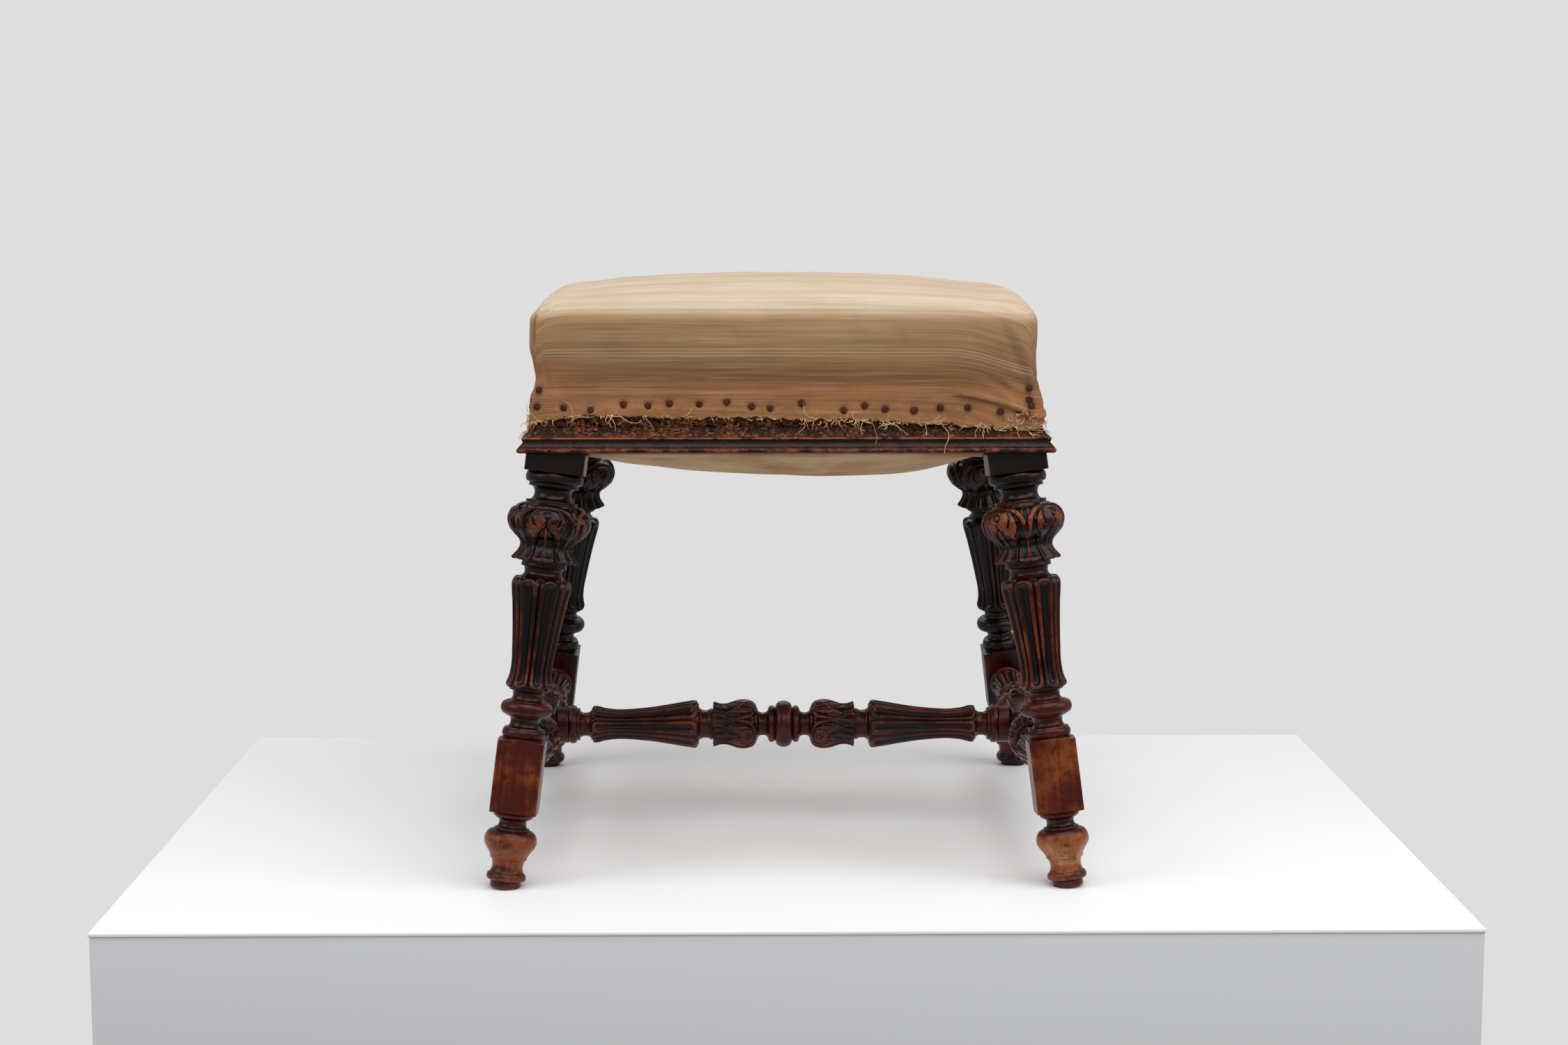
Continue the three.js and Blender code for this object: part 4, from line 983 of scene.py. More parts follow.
def moulding(name, quarter, paint):
    """The moulding along one side, mitred at its ends, its bead uneven and its ramp scarred."""
    section = np.array(moulding_section())
    out, up, hollow, edge, dry = section.T
    rng = np.random.default_rng(SEED + quarter)
    share = np.linspace(-1, 1, MOULDING_STEPS)[:, None]
    uneven = layered_noise((MOULDING_STEPS, len(section)), ((16, 3, 0.22), (150, 6, 0.16)), rng)
    deep, torn, pit = dents(share * FRAME_HALF + 0 * out, FRAME_BOTTOM + up + 0 * share, rng, MOULDING_HOLES)
    reach = out + np.where(out > 5, uneven, 0) - np.minimum(deep, 0.8) * (dry > 0.9) * (out > 0.8)
    along = share * (FRAME_HALF + reach - GAP / 2)
    rings = np.stack([along, -FRAME_HALF - reach, FRAME_BOTTOM + up + 0 * reach], -1)
    thing = tube(name + "_run", rings, paint)
    for mark, values in (("hollow", hollow), ("edge", edge), ("dry", dry)):
        add_values(thing, mark, np.tile(values, MOULDING_STEPS))
    add_scars(thing, torn, pit)
    turned_to_side(thing, quarter)
    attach(thing, "root")
    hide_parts(name)


def turned_to_side(thing, quarter):
    """Turns a piece that was made for the front to its own side."""
    thing.data.transform(Matrix.Rotation(quarter * math.pi / 2, 4, "Z"))
    facing_out(thing)


def facing_out(thing):
    """Turns all faces outwards."""
    bpy.context.view_layer.objects.active = thing
    bpy.ops.object.select_all(action="DESELECT")
    thing.select_set(True)
    bpy.ops.object.mode_set(mode="EDIT")
    bpy.ops.mesh.select_all(action="SELECT")
    bpy.ops.mesh.normals_make_consistent(inside=False)
    bpy.ops.object.mode_set(mode="OBJECT")


def square_outline(half, corner, count):
    """Points evenly round a square with round corners, anticlockwise from the middle of the front."""
    corner = np.minimum(corner, half)
    inner = half - corner
    arc = corner * math.pi / 2
    full = 4 * (2 * inner + arc)
    walk = (np.arange(count) / count * full + inner) % full
    side = 2 * inner + arc
    quarter = (walk // side).astype(int)
    rest = walk - quarter * side
    bend = np.clip((rest - 2 * inner) / max(corner, 1e-6), 0, math.pi / 2)
    along = np.minimum(rest, 2 * inner) - inner
    x = np.where(rest <= 2 * inner, along, inner + corner * np.sin(bend))
    y = np.where(rest <= 2 * inner, -half, -inner - corner * np.cos(bend))
    turn = quarter * math.pi / 2
    return np.cos(turn) * x - np.sin(turn) * y, np.sin(turn) * x + np.cos(turn) * y


def tack_places(quarter):
    """Where the tacks stand along one side and how high; on the front, where they really are."""
    if quarter == 0:
        places, heights = zip(*FRONT_TACKS)
        return np.array(places), np.array(heights)
    rng = np.random.default_rng(SEED + 40 + quarter)
    places = np.linspace(-188, 189, TACKS_A_SIDE) + rng.uniform(-3.4, 3.4, TACKS_A_SIDE)
    heights = TACK_Z + rng.uniform(-2.4, 3.2, TACKS_A_SIDE)
    return places, heights


def along_side(x, y, quarter):
    """How far along a side of the square a place lies, from that side's own left to its right."""
    return (x, y, -x, -y)[quarter]


def on_side(x, y, quarter):
    """Whether a place lies on this side of the square."""
    return (-y, x, y, -x)[quarter] > np.maximum(np.abs(x), np.abs(y)) - 1e-6


def hem_height(along):
    """How high the cover's hem hangs at a place along a side."""
    return COVER_HEM_Z + np.interp(along, *zip(*COVER_HEM))


def pillow(x, y, half):
    """The crown's rise, as a share of its middle's."""
    across = np.clip(1 - np.abs(x / half) ** 2, 0, 1)
    along = np.clip(1 - np.abs(y / half) ** 2, 0, 1)
    return (across * along) ** CROWN_SQUARENESS


def side_half(z):
    """Half the cushion's width at a height."""
    return rounded(*zip(*COVER_SIDE), z)


def dents(along, up, rng, count):
    """Old tack holes and torn wood of a tacked face: how deep, how torn and how black each place is."""
    low, high = float(along.min()), float(along.max())
    fine, coarse = max(4, int((high - low) / 2.4)), max(3, int((high - low) / 7))
    torn = layered_noise(along.shape, ((fine, 30, 1.0), (coarse, 12, 1.0)), rng)
    torn = smooth(0.35, 0.9, torn) * smooth(353, 358, up) * smooth(386, 374, up)
    pit = np.zeros(along.shape)
    for _ in range(count):
        place, height = rng.uniform(low, high), rng.normal(363.5, 3.0)
        radius = rng.uniform(0.5, 0.9)
        stretch = rng.uniform(0.5, 1.0)
        hole = np.exp(-((along - place) * stretch / radius) ** 2 - ((up - height) / radius) ** 2)
        pit = np.maximum(pit, hole)
    return 0.9 * torn + 1.7 * pit, torn, pit


def bevelled(up):
    """How far the top of a rail's outer face slants in, so that the stuffing rolls over it."""
    low, depth = RAIL_BEVEL
    return depth * np.clip((up - low) / (RAIL_TOP - low), 0, 1)


def rail_heights():
    """Heights of a rail's rows of points, finest where its face is scarred."""
    return np.concatenate([[FRAME_BOTTOM + 0.3, FRAME_BOTTOM + 6, 352.0], np.arange(354.0, 374.0, 0.5),
                           [378.0, 382.0], np.linspace(RAIL_BEVEL[0], RAIL_TOP - 0.3, 5)])


def rail(name, quarter, paint):
    """A seat rail between two posts, bevelled at its top, with the scars of older covers on its face."""
    rng = np.random.default_rng(SEED + 60 + quarter)
    reach = FRAME_HALF - POST_WIDTH - GAP
    columns = np.linspace(-reach, reach, RAIL_STEPS)
    heights = rail_heights()
    along, up = np.meshgrid(columns, heights, indexing="ij")
    deep, torn, pit = dents(along, up, rng, RAIL_HOLES)
    face = np.stack([along, -FRAME_HALF + bevelled(up) + deep, up], -1)
    back = np.stack(np.broadcast_arrays(columns[:, None], -FRAME_HALF + RAIL_THICKNESS, heights[[-1, 0]]), -1)
    thing = tube(name + "_scarred", np.concatenate([face, back], 1), paint)
    plain_back = ((0, 0), (0, 2))
    add_scars(thing, np.pad(torn, plain_back), np.pad(pit, plain_back))
    turned_to_side(thing, quarter)
    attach(thing, "root")
    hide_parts(name)


def post(name, side_x, side_y, paint):
    """The square top of a leg between the rails, scarred on its two outer faces as the rails are."""
    rng = np.random.default_rng(SEED + 70 + int(side_x * 2 + side_y))
    inner = FRAME_HALF - POST_WIDTH
    fine = np.linspace(0, POST_WIDTH, POST_STEPS)
    first = np.concatenate([[0], np.full(POST_STEPS, POST_WIDTH), fine[::-1][1:]])
    second = np.concatenate([[0], fine, np.full(POST_STEPS - 1, POST_WIDTH)])
    walk = np.concatenate([[0], fine, POST_WIDTH + fine[1:]])
    along, up = np.meshgrid(walk, np.concatenate([[FRAME_BOTTOM - 6], rail_heights()]))
    deep, torn, pit = dents(along, up, rng, POST_HOLES)
    limit = POST_WIDTH - bevelled(up)
    number = np.arange(len(walk))
    on_first = (number > 0) & (number <= POST_STEPS)
    u = np.minimum(first, limit) - np.where(on_first, deep, 0)
    v = np.minimum(second, limit) - np.where(on_first, 0, deep)
    u[:, 0], v[:, 0] = 0, 0
    thing = tube(name, np.stack([side_x * (inner + u), side_y * (inner + v), up], -1), paint)
    add_scars(thing, torn, pit)
    facing_out(thing)
    return thing


def cover_rows():
    """The cover's surface before its folds: rows of points from the hem to the middle of the crown."""
    heights = np.concatenate([np.linspace(COVER_HEM_Z, RAIL_TOP, HEM_ROWS)[:-1],
                              np.linspace(RAIL_TOP, CUSHION_EDGE_Z, SIDE_ROWS)])
    rows = []
    for z in heights:
        corner = 2.5 + (CUSHION_CORNER - 2.5) * float(smooth(RAIL_TOP - 14, CUSHION_EDGE_Z, z))
        x, y = square_outline(float(side_half(z)), corner, COVER_AROUND)
        rows.append(np.stack([x, y, np.full(COVER_AROUND, z)], -1))
    top = float(side_half(CUSHION_EDGE_Z))
    for share in np.sin(np.linspace(math.pi / 2, 0.012, CROWN_ROWS))[1:]:
        x, y = square_outline(top * share, CUSHION_CORNER * share, COVER_AROUND)
        rows.append(np.stack([x, y, CUSHION_EDGE_Z + CUSHION_CROWN * pillow(x, y, top)], -1))
    return np.array(rows), top


def tack_pulls(x, y, z, depth):
    """How far tacks pull the cloth in, a dark ring round each tack's head, and the ridge above them."""
    pull, tack_ring, ridge = np.zeros(x.shape), np.zeros(x.shape), np.zeros(x.shape)
    for quarter in range(4):
        along = along_side(x, y, quarter)
        facing = on_side(x, y, quarter) & (depth > 0)
        for place, height in zip(*tack_places(quarter)):
            apart = np.hypot(along - place, z - height)
            above = np.exp(-((along - place) / 4.4) ** 2 - ((z - height - 12) / 9.0) ** 2)
            pull += np.where(facing, np.exp(-(apart / 5.0) ** 2) + 0.55 * above, 0)
            tack_ring += np.where(facing, np.exp(-((apart - 2.6) / 1.4) ** 2), 0)
        ridge += np.where(facing, np.exp(-((z - 389.0) / 4.5) ** 2), 0)
    return pull, tack_ring, ridge


def cover_folds(x, y, z, depth, rng):
    """Folds and dips of the cover, outwards from its plain surface, and the dark rings round its tacks."""
    pull, tack_ring, ridge = tack_pulls(x, y, z, depth)
    broken = lattice_noise(x.shape, (9, 90), rng, True)
    fold = ridge * (0.5 + 0.8 * broken) - 0.9 * pull
    lumps = layered_noise(x.shape, ((9, 46, 0.55), (20, 130, 0.22), (34, 60, 0.22)), rng, True)
    fold += lumps * smooth(-2, 12, depth) * smooth(RAIL_TOP - 14, RAIL_TOP + 8, z)
    fold += lattice_noise(x.shape, (60, 420), rng, True) * 0.3 * smooth(386, 370, z)
    fold += corner_folds(x, y, z, depth)
    clear = FRAME_HALF + 0.5 - bevelled(z) - side_half(z)
    return np.where(z < RAIL_TOP + 1, np.maximum(fold, clear), np.clip(fold, -3.2, 3.4)), tack_ring


def hem_drop(x, y, z):
    """The height of each place once the hem hangs lower at the corners."""
    hem = np.zeros(x.shape)
    for quarter in range(4):
        hem = np.where(on_side(x, y, quarter), hem_height(along_side(x, y, quarter)) - COVER_HEM_Z, hem)
    return z + blurred(hem, 3) * smooth(RAIL_TOP - 2, COVER_HEM_Z, z)


def crown_unevenness(x, y, z, depth, top, bump):
    """The height of each place once the crown is lumpy, rolled at its edge and sunk at the front right."""
    corner = np.exp(-((top + 2 - np.abs(x)) ** 2 + (top + 2 - np.abs(y)) ** 2) / 20 ** 2)
    ring = np.maximum(np.abs(x), np.abs(y)).max(axis=1, keepdims=True) / top
    roll = (3.2 - 2.4 * smooth(0, 170, y)) * smooth(1.0, 0.972, ring) * smooth(0.82, 0.95, ring)
    sink = 2.2 * smooth(95, 200, x) * smooth(-95, -200, y) - 1.0 * smooth(40, -190, x) + 1.6 * corner
    return z + (bump * smooth(1.0, 0.75, ring) + roll) * (depth <= 0) - sink * smooth(30, 1, depth)


def lined(rows):
    """Rows of the cover with those of its hem before them, turned back for the hem's inner face."""
    return np.concatenate([rows[:HEM_ROWS][::-1], rows])


def cover(paint):
    """The seat's cover over its stuffing: crown, sides drawn in, and a torn edge tacked to the rails."""
    rng = np.random.default_rng(SEED)
    grid, top = cover_rows()
    x, y, z = np.moveaxis(grid, -1, 0)
    depth = CUSHION_EDGE_Z - z
    out_x, out_y = outward(x, y)
    fold, tack_ring = cover_folds(x, y, z, depth, rng)
    ragged = layered_noise((1, COVER_AROUND), ((1, 60, 1.0), (1, 190, 1.0), (1, 640, 1.2)), rng, True)
    bump = lattice_at(x / 36 + 6, y / 36 + 6, rng.uniform(-1, 1, (13, 13))) * 0.5
    bump += lattice_at(x / 14 + 16, y / 18 + 12, rng.uniform(-1, 1, (33, 25))) * 0.18

    lowered = hem_drop(x, y, z)
    fold += (side_half(lowered) - side_half(z)) * smooth(RAIL_TOP, RAIL_TOP - 4, z)
    lowered = lowered + ragged * smooth(COVER_HEM_Z + 7, COVER_HEM_Z, z)
    lowered = crown_unevenness(x, y, lowered, depth, top, bump)
    boxed = smooth(-180, -195, x) * smooth(-158, -178, y) * smooth(400, 428, z) * smooth(455, 446, z)
    rows = lined(np.stack([x + out_x * fold - 3.0 * boxed, y + out_y * fold, lowered], -1))
    rows[:HEM_ROWS, :, 0] -= out_x[:HEM_ROWS][::-1] * COVER_THICKNESS
    rows[:HEM_ROWS, :, 1] -= out_y[:HEM_ROWS][::-1] * COVER_THICKNESS
    ends = [[0, 0, RAIL_TOP + 1.0], [0, 0, lowered[-1].mean()]]
    thing = tube("ticking_seat", rows, paint, ends)

    front = y < -150
    ends_of_sides = smooth(60, 150, np.minimum(np.abs(x), np.abs(y)))
    low = smooth(8, 58, depth) + 0.24 * ends_of_sides * smooth(2, 12, depth) * smooth(46, 20, depth)
    # The front's left end is painted lighter, as painted light falling on it from the left
    lit_left_end = smooth(-148, -196, x) * smooth(30, 62, depth) * front
    soil_and_shade = 0.5 * tack_ring + 0.3 * smooth(4.0, 0.0, z - COVER_HEM_Z) * (ragged > 0)
    # The slit of the boxed pleat at the front's left corner is darkened as painted shade
    slit = np.exp(-((x + 193.4) / 0.9) ** 2) * front
    soil_and_shade += 0.75 * slit * smooth(424, 431, z) * smooth(452, 448, z)
    # How far onto the sides each place lies, reaching a little onto the crown: it drives the sides' darker
    # colour, partly dirt and partly painted shade
    add_values(thing, "side", lined(smooth(-3.0, 7.0, depth + 1.2 * bump)))
    add_values(thing, "low", lined(low))
    # The hem's lighter colour, and the front's left end painted lighter as painted light
    add_values(thing, "hem", lined(np.maximum(smooth(50, 80, depth), lit_left_end)))
    add_values(thing, "soil_and_shade", lined(np.clip(soil_and_shade, 0, 0.8)))
    add_vectors(thing, "cloth", lined(cloth_plan(x, y, depth, top)) * MM)
    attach(thing, "root")
    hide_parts("seat_cover", "stuffing", "hessian")


def outward(x, y):
    """Which way is out, seen from above, at each place round a square."""
    span = np.maximum(np.abs(x), np.abs(y)) + 1e-9
    ox = np.sign(x) * smooth(0.93, 1.0, np.abs(x) / span)
    oy = np.sign(y) * smooth(0.93, 1.0, np.abs(y) / span)
    length = np.maximum(np.hypot(ox, oy), 1e-9)
    return ox / length, oy / length


def corner_folds(x, y, z, depth):
    """Pleats at the front corners: a boxed one on the left, and cloth pulled slanting on the right."""
    upright = smooth(-3, 6, depth)
    front = np.where(y < -150, 1.0, 0.0)
    boxed = 4.6 * np.exp(-((x + 198) ** 2 + (y + 198) ** 2) / 160) * smooth(398, 424, z)
    slit = -3.6 * np.exp(-((x + 193.4) / 1.15) ** 2) * smooth(424, 431, z) * smooth(452, 448, z)
    left = -0.8 * np.exp(-((x + 189 - 0.05 * (430 - z)) / 2.0) ** 2) * smooth(372, 385, z)
    above = z - np.interp(x, *zip(*RIGHT_CREASE))
    lip = 3.0 * np.exp(-((above - 1.7) / 1.9) ** 2) - 2.2 * np.exp(-((above + 1.0) / 1.0) ** 2)
    lip = lip * smooth(126, 142, x)
    slant = x - 180 - 0.42 * (430 - z)
    right = np.exp(-((slant + 6) / 4.2) ** 2) * -1.3 + np.exp(-((slant - 3) / 4.2) ** 2) * 1.0
    right = right * smooth(450, 436, z) * smooth(392, 404, z)
    pulled = 0.75 * np.sin((x + z * 1.6) / 3.2) * smooth(140, 175, x)
    pulled = pulled * smooth(408, 396, z) * smooth(378, 384, z)
    return front * (upright * (boxed + slit + left + right + pulled) + lip)


def cloth_plan(x, y, depth, top):
    """Where each point lay on the flat cloth, in millimetres."""
    shares = np.linspace(0, 1, 600)
    rise = CUSHION_CROWN * (1 - shares ** 2) ** CROWN_SQUARENESS
    walked = np.concatenate([[0], np.cumsum(np.hypot(np.diff(rise), np.diff(shares * top)))])
    extra = walked - shares * top
    span = np.maximum(np.maximum(np.abs(x), np.abs(y)), 1e-6)
    down = np.maximum(depth, 0)
    sideways = np.abs(x) > np.abs(y)
    droop = 15 * smooth(120, 200, x) ** 1.4 * smooth(-60, -190, y)
    extra_x = np.interp(np.abs(x) / top, shares, extra) * smooth(0.6, 1.0, np.abs(x) / span)
    extra_y = np.interp(np.abs(y) / top, shares, extra) * smooth(0.6, 1.0, np.abs(y) / span)
    u = x + np.sign(x) * (extra_x + down * sideways)
    v = y + np.sign(y) * (extra_y + down * ~sideways)
    return np.stack([u, v + droop, np.zeros(u.shape)], -1)


def thread_path(rng, quarter, start, heading, length, bend, out, lift):
    """A loose thread's way along one side of the stool, up it and out from it."""
    steps = max(5, int(length / 1.1))
    turn = heading + np.cumsum(np.full(steps, bend / steps) + rng.normal(0, 0.22, steps))
    step = length / steps
    along = start[0] + np.cumsum(np.cos(turn) * step)
    up = start[1] + np.cumsum(np.sin(turn) * step)
    way = np.linspace(0, 1, steps)
    arch = lift * np.sin(way * math.pi * rng.uniform(0.5, 1.0))
    off = out + arch + 0.25 * np.sin(way * 9 + rng.uniform(0, 6))
    clear = np.interp(up, (343, 355.5, 358.0, 359.7, 362.2), (11.0, 9.2, 2.9, 1.6, 0.8)) + 0.3
    path = np.stack([along, -FRAME_HALF - np.maximum(off, clear), up], -1)
    return path @ np.array(Matrix.Rotation(quarter * math.pi / 2, 3, "Z")).T


def strand(path, radius):
    """The points and the faces of a thin round strand along a path, thinner at its end."""
    sides = 5
    lead = np.gradient(path, axis=0)
    lead /= np.maximum(np.linalg.norm(lead, axis=1, keepdims=True), 1e-9)
    first = np.cross(lead, [0.31, 0.9, 0.27])
    first /= np.maximum(np.linalg.norm(first, axis=1, keepdims=True), 1e-9)
    second = np.cross(lead, first)
    angle = np.arange(sides)[None, :, None] * 2 * math.pi / sides
    thin = radius * np.linspace(1.0, 0.6, len(path))[:, None, None]
    rings = path[:, None] + thin * (first[:, None] * np.cos(angle) + second[:, None] * np.sin(angle))
    return np.concatenate([rings.reshape(-1, 3), path[:1], path[-1:]]), tube_faces(len(path), sides)


def strands(name, made, paint):
    """One mesh of many strands, from the path and the radius of each."""
    thing = build_many(name, [strand(path, radius) for path, radius in made], paint)
    facing_out(thing)
    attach(thing, "root")
    return thing


def frayed_thread(rng, quarter, place, kind):
    """One thread that hangs, curls or lies along the torn hem, and its radius."""
    short, flap = kind == "short", kind == "flap"
    corner = abs(place) > 184
    length = rng.uniform(1.0, 2.4) if short else min(3.0 + rng.gamma(1.5, 2.5), 18.0)
    lying = not short and rng.random() < 0.4
    aim = -math.pi / 2 + rng.normal(0, 0.7) + (0.9 * np.sign(place) if corner else 0)
    aim = rng.choice([-0.25, math.pi + 0.25]) if lying else aim
    length *= 1.6 if lying and not corner else 1.0
    bend = rng.normal(0, 0.9) * (2.2 if rng.random() < 0.3 else 1.0)
    start = (place, float(hem_height(place)) + rng.uniform(-1.0, 14.0 if flap else 1.6))
    path = thread_path(rng, quarter, start, aim, length, bend, 2.4 if flap else 2.0, rng.uniform(0.3, 1.8))
    return path, rng.uniform(0.19, 0.38)


def frayed_threads(paint):
    """Threads of the torn hem, more of them at the corners."""
    made = []
    kinds = np.repeat(list(THREADS), list(THREADS.values()))
    for quarter in range(4):
        rng = np.random.default_rng(SEED + 120 + quarter)
        tufts = rng.choice(rng.uniform(-198, 198, 13), THREADS["tuft"]) + rng.normal(0, 3.6, THREADS["tuft"])
        places = [np.clip(tufts, -201, 201), rng.uniform(-200, 200, THREADS["scattered"]),
                  rng.uniform(172, 201, THREADS["flap"]), -rng.uniform(188, 201, THREADS["corner"]),
                  rng.uniform(-200, 200, THREADS["short"])]
        made += [frayed_thread(rng, quarter, place, kind)
                 for place, kind in zip(np.concatenate(places), kinds)]
    strands("frayed_threads", made, paint)


def splinters(paint):
    """Torn fibres and splinters that stand up from the tacking strip."""
    made = []
    for quarter in range(4):
        rng = np.random.default_rng(SEED + 160 + quarter)
        for place in rng.uniform(-196, 196, SPLINTERS_A_SIDE):
            start = (place, rng.uniform(358.0, 366.0))
            heading = rng.choice([0.0, math.pi]) + rng.normal(0, 0.5)
            path = thread_path(rng, quarter, start, heading, rng.uniform(2, 6), rng.normal(0, 1.2), 0.3,
                               rng.uniform(0.2, 1.0))
            made.append((path, rng.uniform(0.14, 0.34)))
    strands("splinters", made, paint)


def scraps(paint):
    """Small red scraps of an older cover, caught under the tacks and the hem."""
    rng = np.random.default_rng(SEED + 200)
    sides = 9
    one = np.arange(sides)
    two = (one + 1) % sides
    corners = ((one, two, 2 * sides), (two + sides, one + sides, 2 * sides + 1),
               (two, one, one + sides), (two, one + sides, two + sides))
    faces = [np.stack(np.broadcast_arrays(*three), -1) for three in corners]
    angle = one * 2 * math.pi / sides
    parts = []
    for x, z, size in SCRAPS:
        reach = size / 2 * rng.uniform(0.6, 1.25, sides)
        y = -FRAME_HALF - np.interp(z, (356, 362.2, 370), (6.4, 2.2, 3.2))
        front = np.stack([x + reach * np.cos(angle), np.full(sides, y), z + reach * np.sin(angle) * 0.8], -1)
        middles = [[x, y - 0.3, z], [x, y + 0.9, z]]
        parts.append((np.concatenate([front, front + [0, 0.6, 0], middles]), faces))
    thing = build_many("red_scraps", parts, paint)
    facing_out(thing)
    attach(thing, "root")


def tack_heads(paint):
    """The domed heads of the tacks along the cover's edge."""
    sides = 16
    angle = np.arange(sides) * math.pi / (sides / 2)
    for quarter, side in enumerate(SIDES):
        parts = []
        rng = np.random.default_rng(SEED + 80 + quarter)
        for place, height in zip(*tack_places(quarter)):
            radius = TACK_RADIUS * rng.uniform(0.93, 1.05)
            rings = [np.stack([np.cos(angle) * radius * share, np.full(sides, -lift * TACK_RISE / 0.75),
                               np.sin(angle) * radius * share], -1) for share, lift in TACK_RINGS]
            head = np.concatenate(rings + [[[0, 2.5, 0], [0, -0.85, 0]]])
            nod = Matrix.Rotation(rng.uniform(-0.2, 0.2), 3, "X")
            tilt = nod @ Matrix.Rotation(rng.uniform(-0.2, 0.2), 3, "Z")
            parts.append((head @ np.array(tilt).T + [place, -FRAME_HALF - 1.35, height],
                          tube_faces(len(TACK_RINGS), sides)))
        thing = build_many("tacks_" + side, parts, paint)
        turned_to_side(thing, quarter)
        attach(thing, "root")


def bottom_cloth(paint):
    """The cloth under the seat, tacked round the rails and sagging in soft folds."""
    rng = np.random.default_rng(SEED + 5)
    count = 150
    reach = FRAME_HALF - 2
    line = np.linspace(-reach, reach, count)
    x, y = np.meshgrid(line, line, indexing="ij")
    off = x - 45.0
    sag = np.clip(1 - np.where(off < 0, np.abs(off / 276) ** 2.1, np.abs(off / 142) ** 2.8), 0, 1)
    sag = sag * np.clip(1 - np.abs(y / 177) ** 2.1, 0, 1) * np.clip(1 - np.abs(x / 188) ** 8, 0, 1)
    span = np.maximum(np.abs(x), np.abs(y))
    z = FRAME_BOTTOM - 1.0 - 3.3 * smooth(reach, FRAME_HALF - 6.5, span) - BOTTOM_CLOTH_SAG * sag
    for cells, rise in ((7, 1.2), (18, 0.35)):
        z += lattice_noise(x.shape, (cells, cells), rng) * rise * np.clip(sag * 4, 0, 1)

    # A square is cut out of each corner for the post
    notch = FRAME_HALF - POST_WIDTH - 3
    clear = np.abs((line[1:] + line[:-1]) / 2) < notch
    used, cells = np.unique(grid_quads(count, count)[clear[:, None] | clear], return_inverse=True)
    flat = np.stack([x, y, z], -1).reshape(-1, 3)[used]
    thing = build_mesh("bottom_cloth_sheet", flat, [cells.reshape(-1, 4)], paint)
    thicken(thing, BOTTOM_CLOTH_THICKNESS)
    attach(thing, "root")
    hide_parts("bottom_cloth")


def webbing(name, place, across, paint):
    """A strap of jute webbing, stretched over the opening from rail to rail."""
    reach, half, inner = FRAME_HALF - 7, STRAP_WIDTH / 2, FRAME_HALF - RAIL_THICKNESS
    lengthwise, widthwise = np.linspace(-reach, reach, 150), np.linspace(-half, half, 11)
    along, wide = np.meshgrid(lengthwise, widthwise + place, indexing="ij")
    x, y = (along, wide) if across else (wide, along)
    hang = np.clip(1 - (x / inner) ** 2, 0, 1) * np.clip(1 - (y / inner) ** 2, 0, 1)
    dip = 1.7 * smooth(inner + 3, inner - 6, np.abs(along)) if across else 0
    z = FRAME_BOTTOM - GAP - 0.7 - STRAP_SAG * hang - dip
    quads = grid_quads(*along.shape).reshape(-1, 4)
    thing = build_mesh(name + "_strap", np.stack([x, y, z], -1).reshape(-1, 3), [quads], paint)
    thicken(thing, STRAP_THICKNESS)
    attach(thing, "root")
    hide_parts(name)


def plinth():
    """A plain white plinth: a white top over sides painted grey as painted shade."""
    slabs = (("plinth", -PLINTH_HEIGHT, PLINTH_SHADE_GREY, 1), ("plinth_top", -3, PLINTH_WHITE, 0))
    for name, low, color, inset in slabs:
        paint = Paint(name + "_paint")
        paint.finish(shade(*color), 0.7, None, 0.2)
        x, y = (half - inset for half in PLINTH_HALF)
        block(name, (-x, -y, low), (x, y, -inset), paint.material, 0.8)


def background():
    """Plain grey where the camera looks past the stool, and even white light from all round."""
    world = bpy.data.worlds.new("studio")
    bpy.context.scene.world = world
    world.use_nodes = True
    tree = world.node_tree
    tree.nodes.clear()
    output = tree.nodes.new("ShaderNodeOutputWorld")
    light = tree.nodes.new("ShaderNodeBackground")
    light.inputs["Color"].default_value = (1, 1, 1, 1)
    light.inputs["Strength"].default_value = AMBIENT
    seen = tree.nodes.new("ShaderNodeBackground")
    seen.inputs["Color"].default_value = shade(*WALL_GREY)
    path = tree.nodes.new("ShaderNodeLightPath")
    switch = tree.nodes.new("ShaderNodeMixShader")
    tree.links.new(path.outputs["Is Camera Ray"], switch.inputs[0])
    tree.links.new(light.outputs[0], switch.inputs[1])
    tree.links.new(seen.outputs[0], switch.inputs[2])
    tree.links.new(switch.outputs[0], output.inputs[0])


def placed(name, data, spot):
    """An object of a lamp or a camera, at a place in metres."""
    holder = bpy.data.objects.new(name, data)
    bpy.context.scene.collection.objects.link(holder)
    holder.location = spot
    return holder


def lamps():
    """Four soft square lamps that face the stool."""
    for name, spot, power, size in LAMPS:
        lamp = bpy.data.lights.new(name, "AREA")
        lamp.shape = "SQUARE"
        lamp.size = size
        lamp.energy = power
        holder = placed(name, lamp, spot)
        holder.rotation_euler = (Vector(LAMP_AIM) - Vector(spot)).to_track_quat("-Z", "Y").to_euler()


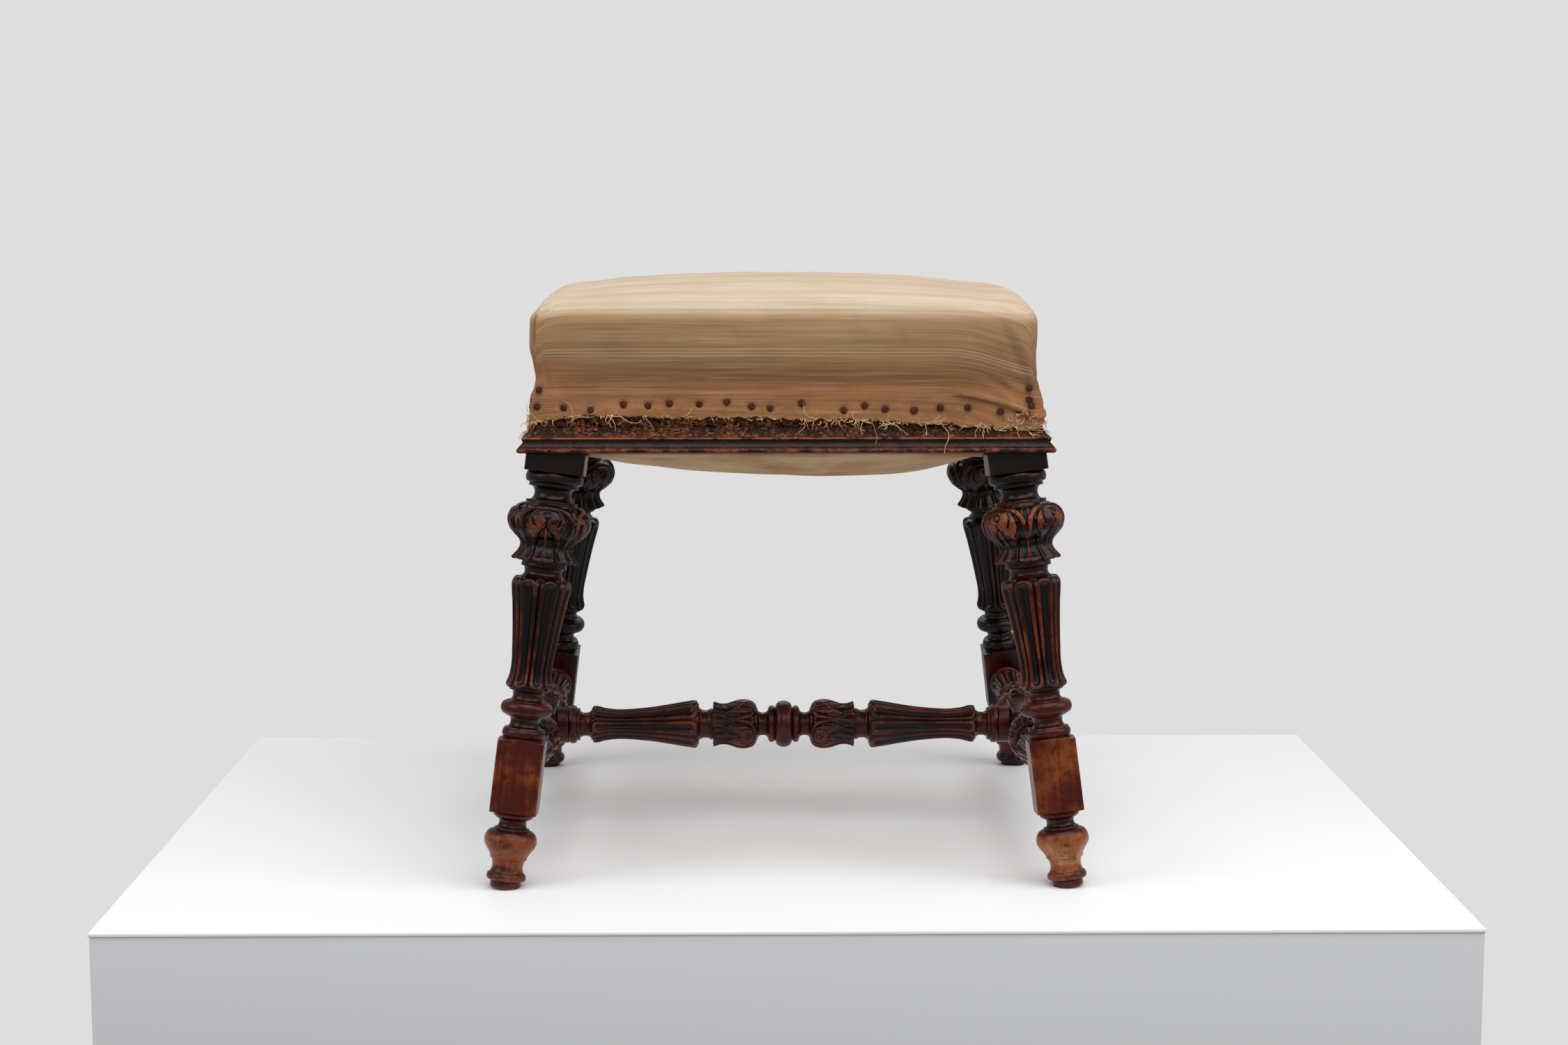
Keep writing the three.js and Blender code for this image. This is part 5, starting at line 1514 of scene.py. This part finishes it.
def camera():
    """The camera at the photograph's viewing angle."""
    lens = bpy.data.cameras.new("camera")
    lens.sensor_width = 36
    lens.lens = CAMERA_LENS
    holder = placed("camera", lens, CAMERA_PLACE)
    holder.rotation_euler = (math.radians(90 - CAMERA_DOWN), 0, math.radians(CAMERA_LEFT))
    bpy.context.scene.camera = holder
    bpy.context.scene.view_settings.view_transform = "Standard"


for old in list(bpy.data.objects):
    bpy.data.objects.remove(old)
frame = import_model()
plinth()
background()
lamps()
camera()

dry_wood = rail_paint()
for number, (name, side_x, side_y, eighths, worn, paleness_and_shade) in enumerate(LEGS):
    polish = walnut_paint("walnut_" + name, number, worn, paleness_and_shade)
    leg(name, side_x, side_y, eighths, polish, dry_wood)

stretcher_paint = walnut_paint("walnut_stretchers", 6)
cross_stretcher(stretcher_paint)
side_stretcher(-1, "side_stretcher_left", stretcher_paint)
side_stretcher(1, "side_stretcher_right", stretcher_paint)

polish = moulding_paint()
for quarter, side in enumerate(SIDES):
    moulding("moulding_" + side, quarter, polish)
    rail("rail_" + side, quarter, dry_wood)

cover(ticking_paint())
soft_edges = (0.35, 0.65)
cream_threads = ((230, 202, 164), (186, 150, 108))
frayed_threads(patchy_paint("loose_thread", (220.0, 3.0), soft_edges, cream_threads, 0.9, 0.1))
splinters(patchy_paint("torn_fibre", (150.0, 3.0), soft_edges, ((150, 96, 54), (84, 48, 28)), 0.85, 0.1))
scraps(patchy_paint("red_scrap", (500.0, 3.0), None, ((176, 40, 46), (120, 30, 32)), 0.8, 0.2, (0.3, 0.0004)))
tack_heads(patchy_paint("rusty_iron", (700.0, 4.0), soft_edges, ((54, 31, 25), (90, 52, 40)), 0.78, 0.14,
                        (0.25, 0.0003)))
bottom_cloth(plain_cloth_paint("calico_weave", (208, 178, 141), (166, 128, 92)))

jute = plain_cloth_paint("jute_weave", (160, 128, 84), (112, 84, 52))
for way in ("across", "lengthwise"):
    for number in (1, 2, 3):
        webbing(f"webbing_{way}_{number}", (number - 2) * STRAP_SPACING, way == "across", jute)
wire_colors = ((116, 112, 106), (92, 66, 48))
wire = patchy_paint("dull_wire", (300.0, 4.0), (0.4, 0.7), wire_colors, 0.5, 0.5, metallic=0.8)
for number in range(1, 6):
    for slot in frame["nodes"][f"spring_{number}"].material_slots:
        slot.material = wire
